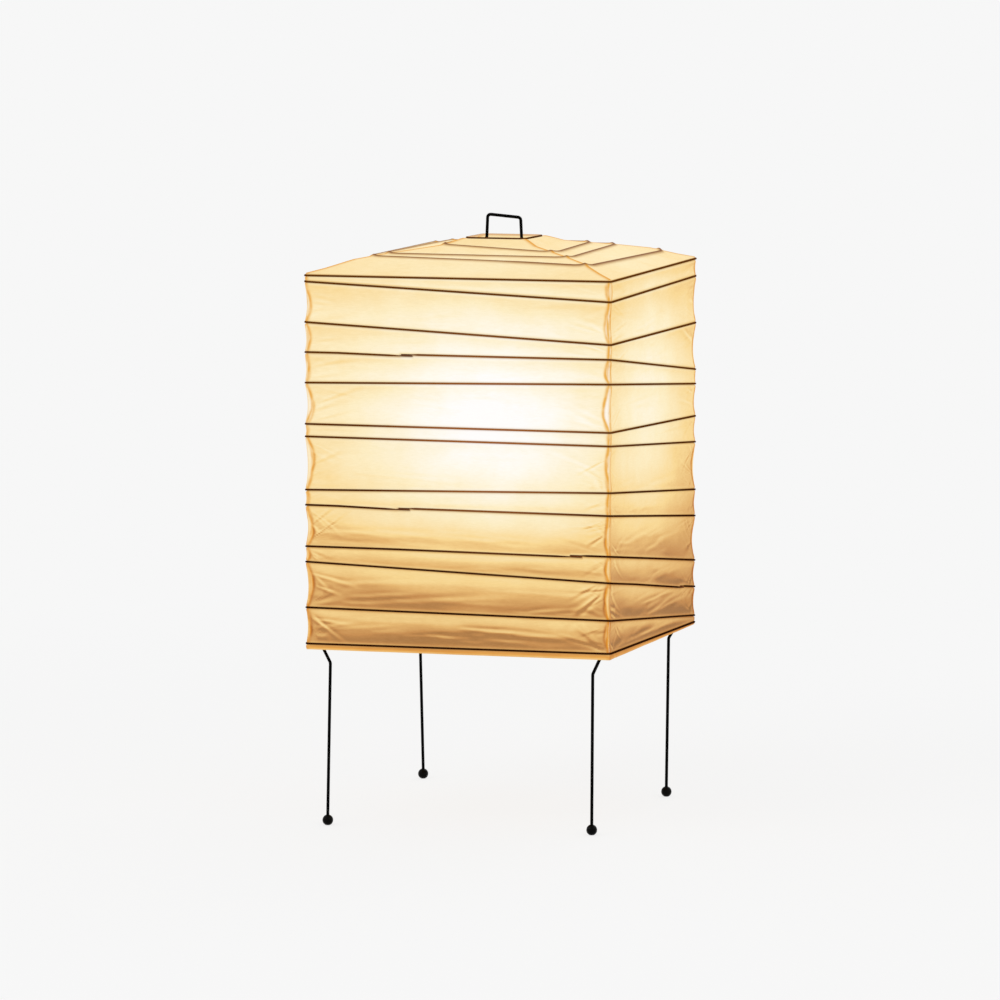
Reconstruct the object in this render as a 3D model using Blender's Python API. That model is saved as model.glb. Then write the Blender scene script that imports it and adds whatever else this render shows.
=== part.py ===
"""Paper table lamp: a square paper shade on thin uneven ribs, carried by a bent wire frame.

Metres, +Z up. The floor is z = 0 and the lamp's axis is the Z axis.
The front faces -Y and the right side faces +X.
"""
import math
from collections import namedtuple

import bmesh
import bpy
from mathutils import Matrix, Vector

# Shade
SHADE_WIDTH = 0.302
EAVE_HEIGHT = 0.525
WALL_HEIGHT = 0.353
ROOF_RISE = 0.0293
TOP_OPENING = 0.060
PAPER_THICKNESS = 0.0006
HEM_DROP = 0.0065
RIB_DIAMETER = 0.002
RIB_CORNER_RADIUS = 0.003
RIB_LAP = 0.011
RIM_DIAMETER = 0.002
RIM_CORNER_RADIUS = 0.007
ROOF_RIB_CORNER_RADIUS = 0.0135

# Paper drawn in between ribs, as shares of the band: at the corners, along the walls and how far down;
# then how far the corner draw reaches along a wall
DRAW_SHARE = 0.10
SAG_SHARE = 0.06
SAG_AT = 0.60
DRAW_REACH = 0.018

# Legs and feet
WIRE_DIAMETER = 0.0031
FOOT_DIAMETER = 0.0105
FOOT_FLAT_CUT = 0.0005
FOOT_SOCKET_DEPTH = 0.005
LEG_STRAIGHT_END = 0.012
KNEE_OFFSET = 0.1305
KNEE_HEIGHT = 0.1545
APEX_OFFSET = 0.1395
ARM_HEIGHT = 0.176
ARM_END_RADIUS = 0.014
LEG_BEND_RADIUS = 0.004

# Hub, riser and cord inlet
HUB_DIAMETER = 0.056
HUB_THICKNESS = 0.002
TUBE_DIAMETER = 0.010
TUBE_BORE = 0.008
TUBE_BELOW_HUB = 0.012
TUBE_ABOVE_HUB = 0.084
NUT_WIDTH = 0.014
NUT_HEIGHT = 0.005
BUSHING_DIAMETER = 0.013
BUSHING_FLANGE = 0.003
BUSHING_SPIGOT = 0.005
BUSHING_BORE = 0.0066

# Stretcher wire and handle
STRETCHER_FOOT_OFFSET = 0.022
STRETCHER_FOOT_RISE = 0.012
STRETCHER_WIDTH = 0.112
STRETCHER_LOW_BEND = 0.080
STRETCHER_HIGH_BEND = 0.040
SHOULDER_OVERHANG = 0.002
HANDLE_WIDTH_LOW = 0.035
HANDLE_WIDTH_HIGH = 0.033
HANDLE_RISE = 0.0185
HANDLE_TILT = 0.0028
STRETCHER_BEND_RADIUS = 0.003

# Lamp holder and bulb
HOLDER_DIAMETER = 0.036
HOLDER_WALL = 0.0016
HOLDER_FLOOR = 0.0032
HOLDER_CAP_HEIGHT = 0.018
HOLDER_LIP = 0.003
HOLDER_NECK_DIAMETER = 0.018
TUBE_INTO_CAP = 0.006
INSULATOR_HEIGHT = 0.008
SCREW_SHELL_WALL = 0.0005
SCREW_SHELL_STOP = 0.003
CONTACT_DIAMETER = 0.008
CONTACT_HEIGHT = 0.004
BULB_CAP_DIAMETER = 0.026
BULB_CAP_HEIGHT = 0.022
BULB_CAP_WALL = 0.0004
BULB_CAP_TAPER = 0.005
BULB_TIP_DIAMETER = 0.009
BULB_TIP_HEIGHT = 0.002
BULB_INSULATOR_DIAMETER = 0.014
GLASS_DIAMETER = 0.060
GLASS_NECK_DIAMETER = 0.0246
GLASS_WALL = 0.001
GLASS_IN_CAP = 0.008
GLASS_CENTRE_ABOVE_CAP = 0.048

# Clearances
CLEAR = 0.0003
THREAD_CLEAR = 0.0004
HIP_GAP = 0.0006

# Each rib lies in a tilted plane: depth below the eave, rise to the right and rise to the back,
# all as shares of the wall height; then the side with its lapped ends and where along that side.
Rib = namedtuple("Rib", "name depth right back lap_side lap_at")
FRONT, RIGHT, BACK, LEFT = range(4)
RIBS = (
    Rib("rib_eave", -0.001, 0.000, 0.010, BACK, -0.30),
    Rib("rib_02", 0.031, -0.038, 0.016, BACK, -0.10),
    Rib("rib_03", 0.150, -0.042, -0.002, LEFT, 0.20),
    Rib("rib_04", 0.255, 0.000, -0.094, FRONT, -0.18),
    Rib("rib_05", 0.316, 0.017, -0.069, BACK, 0.25),
    Rib("rib_06", 0.416, 0.000, -0.031, LEFT, -0.15),
    Rib("rib_07", 0.469, -0.002, -0.068, BACK, 0.05),
    Rib("rib_08", 0.607, 0.018, -0.078, LEFT, 0.30),
    Rib("rib_09", 0.664, -0.002, -0.091, FRONT, -0.19),
    Rib("rib_10", 0.782, 0.002, -0.108, FRONT, 0.37),
    Rib("rib_11", 0.840, -0.027, -0.112, RIGHT, 0.32),
    Rib("rib_12", 0.942, -0.003, -0.093, BACK, -0.20),
    Rib("rib_bottom", 1.000, 0.007, -0.023, LEFT, -0.05),
)

# Roof ribs: place of each corner between the rim (0) and the eave (1), from the front left one
# round by the front right
ROOF_RIBS = (
    ("roof_rib_1", (0.14, 0.36, 0.31, 0.18)),
    ("roof_rib_2", (0.51, 0.53, 0.48, 0.42)),
    ("roof_rib_3", (0.60, 0.75, 0.80, 0.64)),
)
ROOF_LAP_AT = 0.1

# Roof section: share of the way out from rim to eave, share of the rise left
ROOF_SECTION = ((0.0, 1.0), (0.13, 0.785), (0.50, 0.55), (0.70, 0.40), (0.88, 0.14), (1.0, 0.0))

# Legs: corner signs, how far the knee is off its place and the foot from under its knee, as bent by hand
Leg = namedtuple("Leg", "name sign_x sign_y knee_x knee_y foot_x foot_y")
LEGS = (
    Leg("front_left", -1, -1, -0.0016, 0.000, 0.0000, -0.009),
    Leg("front_right", 1, -1, -0.0030, 0.000, -0.0045, 0.013),
    Leg("back_right", 1, 1, -0.0020, 0.000, 0.0030, -0.017),
    Leg("back_left", -1, 1, 0.0000, 0.005, 0.0000, 0.010),
)

# Mesh fineness
ARC_STEPS = 4
TURN_STEPS = 16
FOOT_STEPS = 12
PLATE_STEPS = 24
GLASS_STEPS = 20
GLASS_ARC_STEPS = 8
NUT_SIDES = 6
RIB_SIDES = 6
WIRE_SIDES = 8
SHARP_ANGLE = math.radians(40)
WELD_DISTANCE = 1e-7

# Shares: where the ramp into a lap starts between corner and lap, how thick a shaved end is in the lap,
# and how much of a straight run a bend may take
LAP_RAMP_FROM = 0.35
LAP_THICKNESS = 0.5
BEND_ROOM = 0.45

# Heights and radii that follow from the sizes above
RIB_RADIUS = RIB_DIAMETER / 2
LAP_STEP = RIB_DIAMETER * LAP_THICKNESS + CLEAR
WIRE_RADIUS = WIRE_DIAMETER / 2
RIB_HALF = SHADE_WIDTH / 2 - RIB_RADIUS
PAPER_HALF = RIB_HALF - RIB_RADIUS - CLEAR
ROOF_EDGE_ABOVE_RIB = RIB_RADIUS + PAPER_THICKNESS + CLEAR
RIM_HALF = TOP_OPENING / 2
RIM_HEIGHT = EAVE_HEIGHT + ROOF_RISE
ROOF_INNER_HALF = RIM_HALF + RIM_DIAMETER / 2 + CLEAR
HUB_BOTTOM = ARM_HEIGHT + WIRE_RADIUS + CLEAR
HUB_TOP = HUB_BOTTOM + HUB_THICKNESS
TUBE_BOTTOM = HUB_BOTTOM - TUBE_BELOW_HUB
TUBE_TOP = HUB_TOP + TUBE_ABOVE_HUB
CAP_BOTTOM = TUBE_TOP - TUBE_INTO_CAP
CAP_TOP = CAP_BOTTOM + HOLDER_CAP_HEIGHT
SHELL_BOTTOM = CAP_TOP + CLEAR
INSULATOR_TOP = CAP_TOP + CLEAR + INSULATOR_HEIGHT
CONTACT_TOP = INSULATOR_TOP + CLEAR + CONTACT_HEIGHT
BULB_TIP_BOTTOM = CONTACT_TOP + CLEAR
BULB_CAP_BOTTOM = BULB_TIP_BOTTOM + BULB_TIP_HEIGHT + CLEAR
BULB_CAP_TOP = BULB_CAP_BOTTOM + BULB_CAP_HEIGHT
SHELL_TOP = BULB_CAP_TOP + HOLDER_LIP
SCREW_SHELL_TOP = BULB_CAP_TOP - SCREW_SHELL_STOP
GLASS_CENTRE = BULB_CAP_TOP + GLASS_CENTRE_ABOVE_CAP
SHOULDER_HEIGHT = RIM_HEIGHT - RIM_DIAMETER / 2 - CLEAR - WIRE_RADIUS
ROOF_RIB_RUN = SHADE_WIDTH / 5


def clear_scene():
    for obj in list(bpy.data.objects):
        bpy.data.objects.remove(obj)


def make_material(name, colour, roughness, metallic=0.0):
    material = bpy.data.materials.new(name)
    material.use_nodes = True
    shader = material.node_tree.nodes["Principled BSDF"]
    shader.inputs["Base Color"].default_value = (*colour, 1.0)
    shader.inputs["Roughness"].default_value = roughness
    shader.inputs["Metallic"].default_value = metallic
    return material


def make_empty(name, height):
    empty = bpy.data.objects.new(name, None)
    empty.location.z = height
    bpy.context.scene.collection.objects.link(empty)
    return empty


def add_object(name, data, material, parent):
    obj = bpy.data.objects.new(name, data)
    bpy.context.scene.collection.objects.link(obj)
    data.materials.append(material)
    obj.parent = parent
    obj.matrix_parent_inverse = Matrix.Translation(-parent.location)
    return obj


def rounded(points, radius):
    """Points of a bent line, with each inner corner turned on an arc."""
    corners = [Vector(point) for point in points]
    line = [corners[0]]
    for before, corner, after in zip(corners, corners[1:], corners[2:]):
        way_in = (corner - before).normalized()
        way_out = (after - corner).normalized()
        turn = way_in.angle(way_out)
        side = (way_out - way_in * way_in.dot(way_out)).normalized()
        room = BEND_ROOM * min((corner - before).length, (after - corner).length)
        bend = min(radius, room / math.tan(turn / 2))
        start = corner - way_in * bend * math.tan(turn / 2)
        for step in range(ARC_STEPS + 1):
            angle = turn * step / ARC_STEPS
            line.append(start + way_in * bend * math.sin(angle) + side * bend * (1 - math.cos(angle)))
    line.append(corners[-1])
    return line


def make_tube(name, points, diameter, material, parent, closed=False, sides=RIB_SIDES):
    """A round bar through points, which may have a share of its thickness as a fourth value."""
    curve = bpy.data.curves.new(name, "CURVE")
    curve.dimensions = "3D"
    curve.bevel_depth = diameter / 2
    curve.bevel_resolution = (sides - 4) // 2
    curve.use_fill_caps = not closed
    spline = curve.splines.new("POLY")
    spline.points.add(len(points) - 1)
    for spot, point in zip(spline.points, points):
        spot.co = (*point[:3], 1.0)
        spot.radius = point[3] if len(point) > 3 else 1.0
    spline.use_cyclic_u = closed
    return add_object(name, curve, material, parent)


def make_turned(name, outline, material, parent, ring=False, steps=TURN_STEPS, place=(0.0, 0.0, 0.0)):
    """Turn an outline of (radius, height) points about the vertical axis."""
    mesh = bpy.data.meshes.new(name)
    form = bmesh.new()
    corners = [form.verts.new((radius, 0.0, height)) for radius, height in outline]
    edges = [form.edges.new(pair) for pair in zip(corners, corners[1:])]
    if ring:
        edges.append(form.edges.new((corners[-1], corners[0])))
    bmesh.ops.spin(form, geom=corners + edges, cent=(0, 0, 0), axis=(0, 0, 1),
                   angle=2 * math.pi, steps=steps, use_merge=True)
    bmesh.ops.remove_doubles(form, verts=form.verts, dist=WELD_DISTANCE)
    bmesh.ops.recalc_face_normals(form, faces=form.faces)
    form.to_mesh(mesh)
    form.free()
    mesh.shade_smooth()
    mesh.set_sharp_from_angle(angle=SHARP_ANGLE)
    obj = add_object(name, mesh, material, parent)
    obj.location = Vector(place) + Vector(obj.location)
    return obj


def make_sheet(name, rows, material, parent):
    """A sheet of paper through rows of points, thickened inwards."""
    mesh = bpy.data.meshes.new(name)
    form = bmesh.new()
    grid = [[form.verts.new(point) for point in row] for row in rows]
    for upper, lower in zip(grid, grid[1:]):
        for column in range(len(upper) - 1):
            form.faces.new((upper[column], lower[column], lower[column + 1], upper[column + 1]))
    form.to_mesh(mesh)
    form.free()
    mesh.shade_smooth()
    obj = add_object(name, mesh, material, parent)
    solid = obj.modifiers.new("thickness", "SOLIDIFY")
    solid.thickness = PAPER_THICKNESS
    solid.offset = -1.0
    return obj


def on_side(side, along, out):
    """Plan point on one side: along to the right seen from outside, out from the axis."""
    x, y = along, -out
    for _ in range(side):
        x, y = -y, x
    return x, y


def rib_height(rib, x, y):
    tilt = (rib.right * x + rib.back * y) / SHADE_WIDTH
    return EAVE_HEIGHT + WALL_HEIGHT * (tilt - rib.depth)


def roof_height(x, y):
    """Height of the roof paper, which falls from the level rim to the tilted eave."""
    reach = max(abs(x), abs(y))
    outward = PAPER_HALF / reach
    edge = rib_height(RIBS[0], x * outward, y * outward) + ROOF_EDGE_ABOVE_RIB
    share = (reach - ROOF_INNER_HALF) / (PAPER_HALF - ROOF_INNER_HALF)
    share = min(max(share, 0.0), 1.0)
    for (near, high), (far, low) in zip(ROOF_SECTION, ROOF_SECTION[1:]):
        if share <= far:
            rise = high + (low - high) * (share - near) / (far - near)
            return edge + rise * (RIM_HEIGHT - edge)
    return edge


def lapped_loop(corners, radius, side, lap_at, drop, inset):
    """Plan path once round four corners, its shaved ends lapped: (x, y, drop, thickness) points."""
    start_corner = Vector(corners[side])
    end_corner = Vector(corners[(side + 1) % 4])
    run = (end_corner - start_corner).normalized()
    aside = Vector((-run.y, run.x)) * inset
    start = start_corner.lerp(end_corner, 0.5 + lap_at)
    end = start + run * RIB_LAP
    ramp = start_corner.lerp(start, LAP_RAMP_FROM)
    path = [end + run * RIB_LAP / 2]
    path += [Vector(corners[(side + 1 + step) % 4]) for step in range(4)]
    path.append(ramp)
    upper = [(*start, 0.0, LAP_THICKNESS), (*(end + run * CLEAR), 0.0, LAP_THICKNESS)]
    whole = [(*point, 0.0, 1.0) for point in rounded(path, radius)]
    foot = start + aside - run * LAP_STEP
    share = 1 - RIB_LAP / (foot - ramp).length
    lower = [(*ramp.lerp(foot, share), drop * share, 1.0), (*foot, drop, LAP_THICKNESS),
             (*(end + aside), drop, LAP_THICKNESS)]
    return upper + whole + lower


def build_ribs(material, parent):
    corners = [(-RIB_HALF, -RIB_HALF), (RIB_HALF, -RIB_HALF), (RIB_HALF, RIB_HALF), (-RIB_HALF, RIB_HALF)]
    for rib in RIBS:
        path = lapped_loop(corners, RIB_CORNER_RADIUS, rib.lap_side, rib.lap_at, LAP_STEP, 0.0)
        points = [(x, y, rib_height(rib, x, y) - drop, thickness) for x, y, drop, thickness in path]
        make_tube(rib.name, points, RIB_DIAMETER, material, parent)


def split_runs(path, longest):
    """The same path with long straight runs cut up, so that it can follow a curved surface."""
    points = [path[0]]
    for before, after in zip(path, path[1:]):
        pieces = max(1, math.ceil(math.dist(before[:2], after[:2]) / longest))
        for piece in range(1, pieces + 1):
            points.append(tuple(a + (b - a) * piece / pieces for a, b in zip(before, after)))
    return points


def build_roof_ribs(material, parent):
    """Ribs under the roof paper, which they carry."""
    signs = ((-1, -1), (1, -1), (1, 1), (-1, 1))
    sink = PAPER_THICKNESS + 2 * CLEAR + RIB_RADIUS
    for name, shares in ROOF_RIBS:
        reaches = [ROOF_INNER_HALF + share * (PAPER_HALF - ROOF_INNER_HALF) for share in shares]
        corners = [(sign_x * reach, sign_y * reach) for (sign_x, sign_y), reach in zip(signs, reaches)]
        path = lapped_loop(corners, ROOF_RIB_CORNER_RADIUS, BACK, ROOF_LAP_AT, 0.0, LAP_STEP)
        path = split_runs(path, ROOF_RIB_RUN)
        points = [(x, y, roof_height(x, y) - sink, thickness) for x, y, _, thickness in path]
        make_tube(name, points, RIB_DIAMETER, material, parent)


def build_top_rim(material, parent):
    corners = [(-RIM_HALF, -RIM_HALF), (RIM_HALF, -RIM_HALF), (RIM_HALF, RIM_HALF), (-RIM_HALF, RIM_HALF)]
    middle = (0.0, -RIM_HALF)
    path = rounded([middle] + corners[1:] + corners[:1] + [middle], RIM_CORNER_RADIUS)[:-1]
    points = [(*point, RIM_HEIGHT) for point in path]
    make_tube("top_rim", points, RIM_DIAMETER, material, parent, closed=True)


def wall_columns():
    """Plan points of one wall from corner to corner: along, out, and how much of the draw they take."""
    centre = RIB_HALF - RIB_CORNER_RADIUS
    bend = PAPER_HALF - centre
    last_angle = math.radians(45) - math.asin(CLEAR / 2 / bend)
    columns = [(centre + bend * math.sin(angle), centre + bend * math.cos(angle))
               for angle in (last_angle, last_angle / 2, 0.0)]
    columns.append((centre - 2 * DRAW_REACH, PAPER_HALF))
    corner = columns[0][0]
    half = [(along, out, math.exp((along - corner) / DRAW_REACH)) for along, out in columns]
    other = [(-along, out, draw) for along, out, draw in half]
    return other + [(0.0, PAPER_HALF, 0.0)] + half[::-1]


def wall_rows(side):
    """Rows of points down one wall: one row at each rib, one between ribs where the paper is drawn in."""
    columns = wall_columns()
    spots = [on_side(side, along, out) for along, out, _ in columns]
    heights = [[rib_height(rib, x, y) for x, y in spots] for rib in RIBS]
    heights[0] = [height + RIB_RADIUS for height in heights[0]]
    rows = []
    for upper, lower in zip(heights, heights[1:]):
        rows.append([(*spot, height) for spot, height in zip(spots, upper)])
        middle = []
        for (along, out, draw), high, low in zip(columns, upper, lower):
            nip = draw * DRAW_SHARE * (high - low) / math.sqrt(2)
            sag = (1 - draw) * SAG_SHARE * (high - low)
            inner = on_side(side, along - math.copysign(nip, along), out - nip - sag)
            middle.append((*inner, high - SAG_AT * (high - low)))
        rows.append(middle)
    rows.append([(*spot, height) for spot, height in zip(spots, heights[-1])])
    rows.append([(*spot, height - HEM_DROP) for spot, height in zip(spots, heights[-1])])
    return rows


def roof_rows(side):
    """Rows of points from the roof opening out to the eave, between two hips."""
    rows = []
    for share, _ in ROOF_SECTION:
        reach = ROOF_INNER_HALF + share * (PAPER_HALF - ROOF_INNER_HALF)
        half = reach - HIP_GAP / math.sqrt(2)
        spots = [on_side(side, along, reach) for along in (-half, -half / 2, 0.0, half / 2, half)]
        rows.append([(*spot, roof_height(*spot)) for spot in spots])
    return rows


def build_paper(material, parent):
    for side, word in enumerate(("front", "right", "back", "left")):
        make_sheet("paper_wall_" + word, wall_rows(side), material, parent)
        make_sheet("paper_roof_" + word, roof_rows(side), material, parent)


def build_legs(wire, ball, parent):
    ball_radius = FOOT_DIAMETER / 2
    ball_centre = ball_radius - FOOT_FLAT_CUT
    socket_radius = WIRE_RADIUS + CLEAR
    mouth = math.sqrt(ball_radius ** 2 - socket_radius ** 2)
    flat = math.sqrt(ball_radius ** 2 - ball_centre ** 2)
    low_angle = math.atan2(-ball_centre, flat)
    high_angle = math.atan2(mouth, socket_radius)
    socket_floor = ball_centre + mouth - FOOT_SOCKET_DEPTH
    outline = [(0.0, 0.0)]
    for step in range(2 * ARC_STEPS + 1):
        angle = low_angle + (high_angle - low_angle) * step / (2 * ARC_STEPS)
        outline.append((ball_radius * math.cos(angle), ball_centre + ball_radius * math.sin(angle)))
    outline += [(socket_radius, socket_floor), (0.0, socket_floor)]
    for leg in LEGS:
        knee_x = leg.sign_x * KNEE_OFFSET + leg.knee_x
        knee_y = leg.sign_y * KNEE_OFFSET + leg.knee_y
        foot_x = knee_x + leg.foot_x
        foot_y = knee_y + leg.foot_y
        arm_end = ARM_END_RADIUS / math.sqrt(2)
        bends = [
            (foot_x, foot_y, socket_floor + CLEAR),
            (foot_x, foot_y, LEG_STRAIGHT_END),
            (knee_x, knee_y, KNEE_HEIGHT),
            (leg.sign_x * APEX_OFFSET, leg.sign_y * APEX_OFFSET, ARM_HEIGHT),
            (leg.sign_x * arm_end, leg.sign_y * arm_end, ARM_HEIGHT),
        ]
        line = rounded(bends, LEG_BEND_RADIUS)
        make_tube("leg_" + leg.name, line, WIRE_DIAMETER, wire, parent, sides=WIRE_SIDES)
        make_turned("foot_" + leg.name, outline, ball, parent, steps=FOOT_STEPS, place=(foot_x, foot_y, 0.0))


def build_hub(metal, bushing, parent):
    bore = TUBE_DIAMETER / 2 + CLEAR
    plate = [(bore, HUB_BOTTOM), (HUB_DIAMETER / 2, HUB_BOTTOM), (HUB_DIAMETER / 2, HUB_TOP), (bore, HUB_TOP)]
    make_turned("hub_plate", plate, metal, parent, ring=True, steps=PLATE_STEPS)
    tube = [(TUBE_BORE / 2, TUBE_BOTTOM), (TUBE_DIAMETER / 2, TUBE_BOTTOM),
            (TUBE_DIAMETER / 2, TUBE_TOP), (TUBE_BORE / 2, TUBE_TOP)]
    make_turned("riser_tube", tube, metal, parent, ring=True)
    lower_top = HUB_BOTTOM - CLEAR
    upper_bottom = HUB_TOP + CLEAR
    for name, bottom in (("nut_lower", lower_top - NUT_HEIGHT), ("nut_upper", upper_bottom)):
        make_nut(name, bottom, bore, metal, parent)
    seat = TUBE_BOTTOM - CLEAR
    spigot = TUBE_BORE / 2 - CLEAR
    outline = [(BUSHING_BORE / 2, seat - BUSHING_FLANGE), (BUSHING_DIAMETER / 2, seat - BUSHING_FLANGE),
               (BUSHING_DIAMETER / 2, seat), (spigot, seat),
               (spigot, seat + BUSHING_SPIGOT), (BUSHING_BORE / 2, seat + BUSHING_SPIGOT)]
    make_turned("cord_bushing", outline, bushing, parent, ring=True)


def make_nut(name, bottom, bore, material, parent):
    """A six-sided nut: a turned ring whose outer wall has six corners."""
    mesh = bpy.data.meshes.new(name)
    form = bmesh.new()
    top = bottom + NUT_HEIGHT
    half_side = math.pi / NUT_SIDES
    inner = bore / math.cos(half_side)
    outer = NUT_WIDTH / 2 / math.cos(half_side)
    angles = [2 * half_side * step for step in range(NUT_SIDES)]
    rings = []
    for radius, height in ((inner, bottom), (outer, bottom), (outer, top), (inner, top)):
        rings.append([form.verts.new((radius * math.cos(a), radius * math.sin(a), height)) for a in angles])
    for ring, following in zip(rings, rings[1:] + rings[:1]):
        for step in range(NUT_SIDES):
            turn = (step + 1) % NUT_SIDES
            form.faces.new((ring[step], ring[turn], following[turn], following[step]))
    bmesh.ops.recalc_face_normals(form, faces=form.faces)
    form.to_mesh(mesh)
    form.free()
    return add_object(name, mesh, material, parent)


def build_stretcher(material, parent):
    """One wire from the hub round the bulb, over the shoulders that carry the rim, and up as the handle."""
    low_bend = HUB_TOP + STRETCHER_LOW_BEND
    high_bend = SHOULDER_HEIGHT - STRETCHER_HIGH_BEND
    handle_top = RIM_HEIGHT + HANDLE_RISE
    right = [
        (STRETCHER_FOOT_OFFSET, HUB_TOP + CLEAR),
        (STRETCHER_FOOT_OFFSET, HUB_TOP + STRETCHER_FOOT_RISE),
        (STRETCHER_WIDTH / 2, low_bend),
        (STRETCHER_WIDTH / 2, high_bend),
        (RIM_HALF + SHOULDER_OVERHANG, SHOULDER_HEIGHT),
        (HANDLE_WIDTH_LOW / 2, SHOULDER_HEIGHT),
        (HANDLE_WIDTH_HIGH / 2, handle_top),
    ]
    left = [(-x, z) for x, z in reversed(right)]
    left[0] = (-HANDLE_WIDTH_HIGH / 2, handle_top + HANDLE_TILT)
    whole = right + left
    line = rounded([(x, 0.0, z) for x, z in whole], STRETCHER_BEND_RADIUS)
    make_tube("stretcher_wire", line, WIRE_DIAMETER, material, parent, sides=WIRE_SIDES)


def build_holder(body, ceramic, metal, parent):
    outer = HOLDER_DIAMETER / 2
    inner = outer - HOLDER_WALL
    neck = HOLDER_NECK_DIAMETER / 2
    bore = TUBE_DIAMETER / 2 + CLEAR
    shoulder = CAP_BOTTOM + HOLDER_CAP_HEIGHT / 2
    floor = CAP_BOTTOM + HOLDER_FLOOR
    cap = [(bore, CAP_BOTTOM), (neck, CAP_BOTTOM), (outer, shoulder), (outer, CAP_TOP), (inner, CAP_TOP),
           (inner, shoulder + HOLDER_WALL), (neck, floor), (bore, floor)]
    make_turned("holder_cap", cap, body, parent, ring=True)
    shell = [(inner, SHELL_BOTTOM), (outer, SHELL_BOTTOM), (outer, SHELL_TOP), (inner, SHELL_TOP)]
    make_turned("holder_shell", shell, body, parent, ring=True)
    seat = CAP_TOP + CLEAR
    rest = inner - CLEAR
    insulator = [(0.0, seat), (rest, seat), (rest, INSULATOR_TOP), (0.0, INSULATOR_TOP)]
    make_turned("holder_insulator", insulator, ceramic, parent)
    shell_inner = BULB_CAP_DIAMETER / 2 + THREAD_CLEAR
    shell_outer = shell_inner + SCREW_SHELL_WALL
    foot = INSULATOR_TOP + CLEAR
    screw = [(shell_inner, foot), (shell_outer, foot), (shell_outer, SCREW_SHELL_TOP),
             (shell_inner, SCREW_SHELL_TOP)]
    make_turned("holder_screw_shell", screw, metal, parent, ring=True)
    contact = CONTACT_DIAMETER / 2
    button = [(0.0, foot), (contact, foot), (contact, foot + CONTACT_HEIGHT / 2), (contact / 2, CONTACT_TOP),
              (0.0, CONTACT_TOP)]
    make_turned("holder_contact", button, metal, parent)


def build_bulb(glass, metal, ceramic, parent):
    tip = BULB_TIP_DIAMETER / 2
    tip_top = BULB_TIP_BOTTOM + BULB_TIP_HEIGHT
    outline = [(0.0, BULB_TIP_BOTTOM), (tip / 2, BULB_TIP_BOTTOM), (tip, tip_top), (0.0, tip_top)]
    make_turned("bulb_contact", outline, metal, parent)
    plug = BULB_INSULATOR_DIAMETER / 2
    plug_top = BULB_CAP_BOTTOM + BULB_CAP_TAPER / 2
    outline = [(0.0, BULB_CAP_BOTTOM), (tip, BULB_CAP_BOTTOM), (plug, plug_top), (0.0, plug_top)]
    make_turned("bulb_insulator", outline, ceramic, parent)
    outer = BULB_CAP_DIAMETER / 2
    inner = outer - BULB_CAP_WALL
    hole = plug + CLEAR
    straight = BULB_CAP_BOTTOM + BULB_CAP_TAPER
    outline = [(hole, plug_top), (hole + BULB_CAP_WALL, plug_top), (outer, straight), (outer, BULB_CAP_TOP),
               (inner, BULB_CAP_TOP), (inner, straight), (hole, plug_top + BULB_CAP_WALL)]
    make_turned("bulb_cap", outline, metal, parent, ring=True)
    make_turned("bulb_glass", glass_outline(), glass, parent, ring=True, steps=GLASS_STEPS)


def glass_outline():
    """Outer skin from the neck up to the crown, then the inner skin back down; the neck stays open."""
    neck = GLASS_NECK_DIAMETER / 2
    neck_bottom = BULB_CAP_TOP - GLASS_IN_CAP
    radius = GLASS_DIAMETER / 2
    neck_angle = math.acos(neck / math.hypot(neck, GLASS_CENTRE_ABOVE_CAP))
    touch_angle = -neck_angle + math.acos(radius / math.hypot(neck, GLASS_CENTRE_ABOVE_CAP))
    skins = []
    for wall in (0.0, GLASS_WALL):
        skin = [(neck - wall, neck_bottom), (neck - wall, BULB_CAP_TOP + CLEAR)]
        for step in range(GLASS_ARC_STEPS + 1):
            angle = touch_angle + (math.pi / 2 - touch_angle) * step / GLASS_ARC_STEPS
            spot = (radius - wall) * math.cos(angle)
            skin.append((max(spot, 0.0), GLASS_CENTRE + (radius - wall) * math.sin(angle)))
        skins.append(skin)
    return skins[0] + skins[1][::-1]


def main():
    clear_scene()
    paper = make_material("paper", (0.90, 0.78, 0.58), 0.85)
    bamboo = make_material("rib_bamboo", (0.09, 0.05, 0.03), 0.65)
    black = make_material("black_wire", (0.02, 0.02, 0.02), 0.35)
    gloss = make_material("black_ball", (0.015, 0.015, 0.015), 0.15)
    steel = make_material("steel", (0.55, 0.54, 0.52), 0.4, 1.0)
    plastic = make_material("holder_black", (0.03, 0.03, 0.03), 0.45)
    ceramic = make_material("ceramic", (0.85, 0.83, 0.78), 0.4)
    brass = make_material("brass", (0.72, 0.55, 0.25), 0.35, 1.0)
    opal = make_material("opal_glass", (0.95, 0.93, 0.88), 0.3)
    frame_root = make_empty("frame_root", 0.0)
    shade_root = make_empty("shade_root", RIM_HEIGHT)
    bulb_root = make_empty("bulb_root", BULB_TIP_BOTTOM)
    build_paper(paper, shade_root)
    build_ribs(bamboo, shade_root)
    build_roof_ribs(bamboo, shade_root)
    build_top_rim(black, shade_root)
    build_legs(black, gloss, frame_root)
    build_hub(steel, plastic, frame_root)
    build_stretcher(black, frame_root)
    build_holder(plastic, ceramic, brass, frame_root)
    build_bulb(opal, steel, ceramic, bulb_root)


main()
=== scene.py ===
"""Looks of the paper table lamp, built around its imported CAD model.

Metres, +Z up, in the frame of the CAD model: the front faces -Y and the right side faces +X.
"""
import math
from collections import namedtuple

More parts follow.
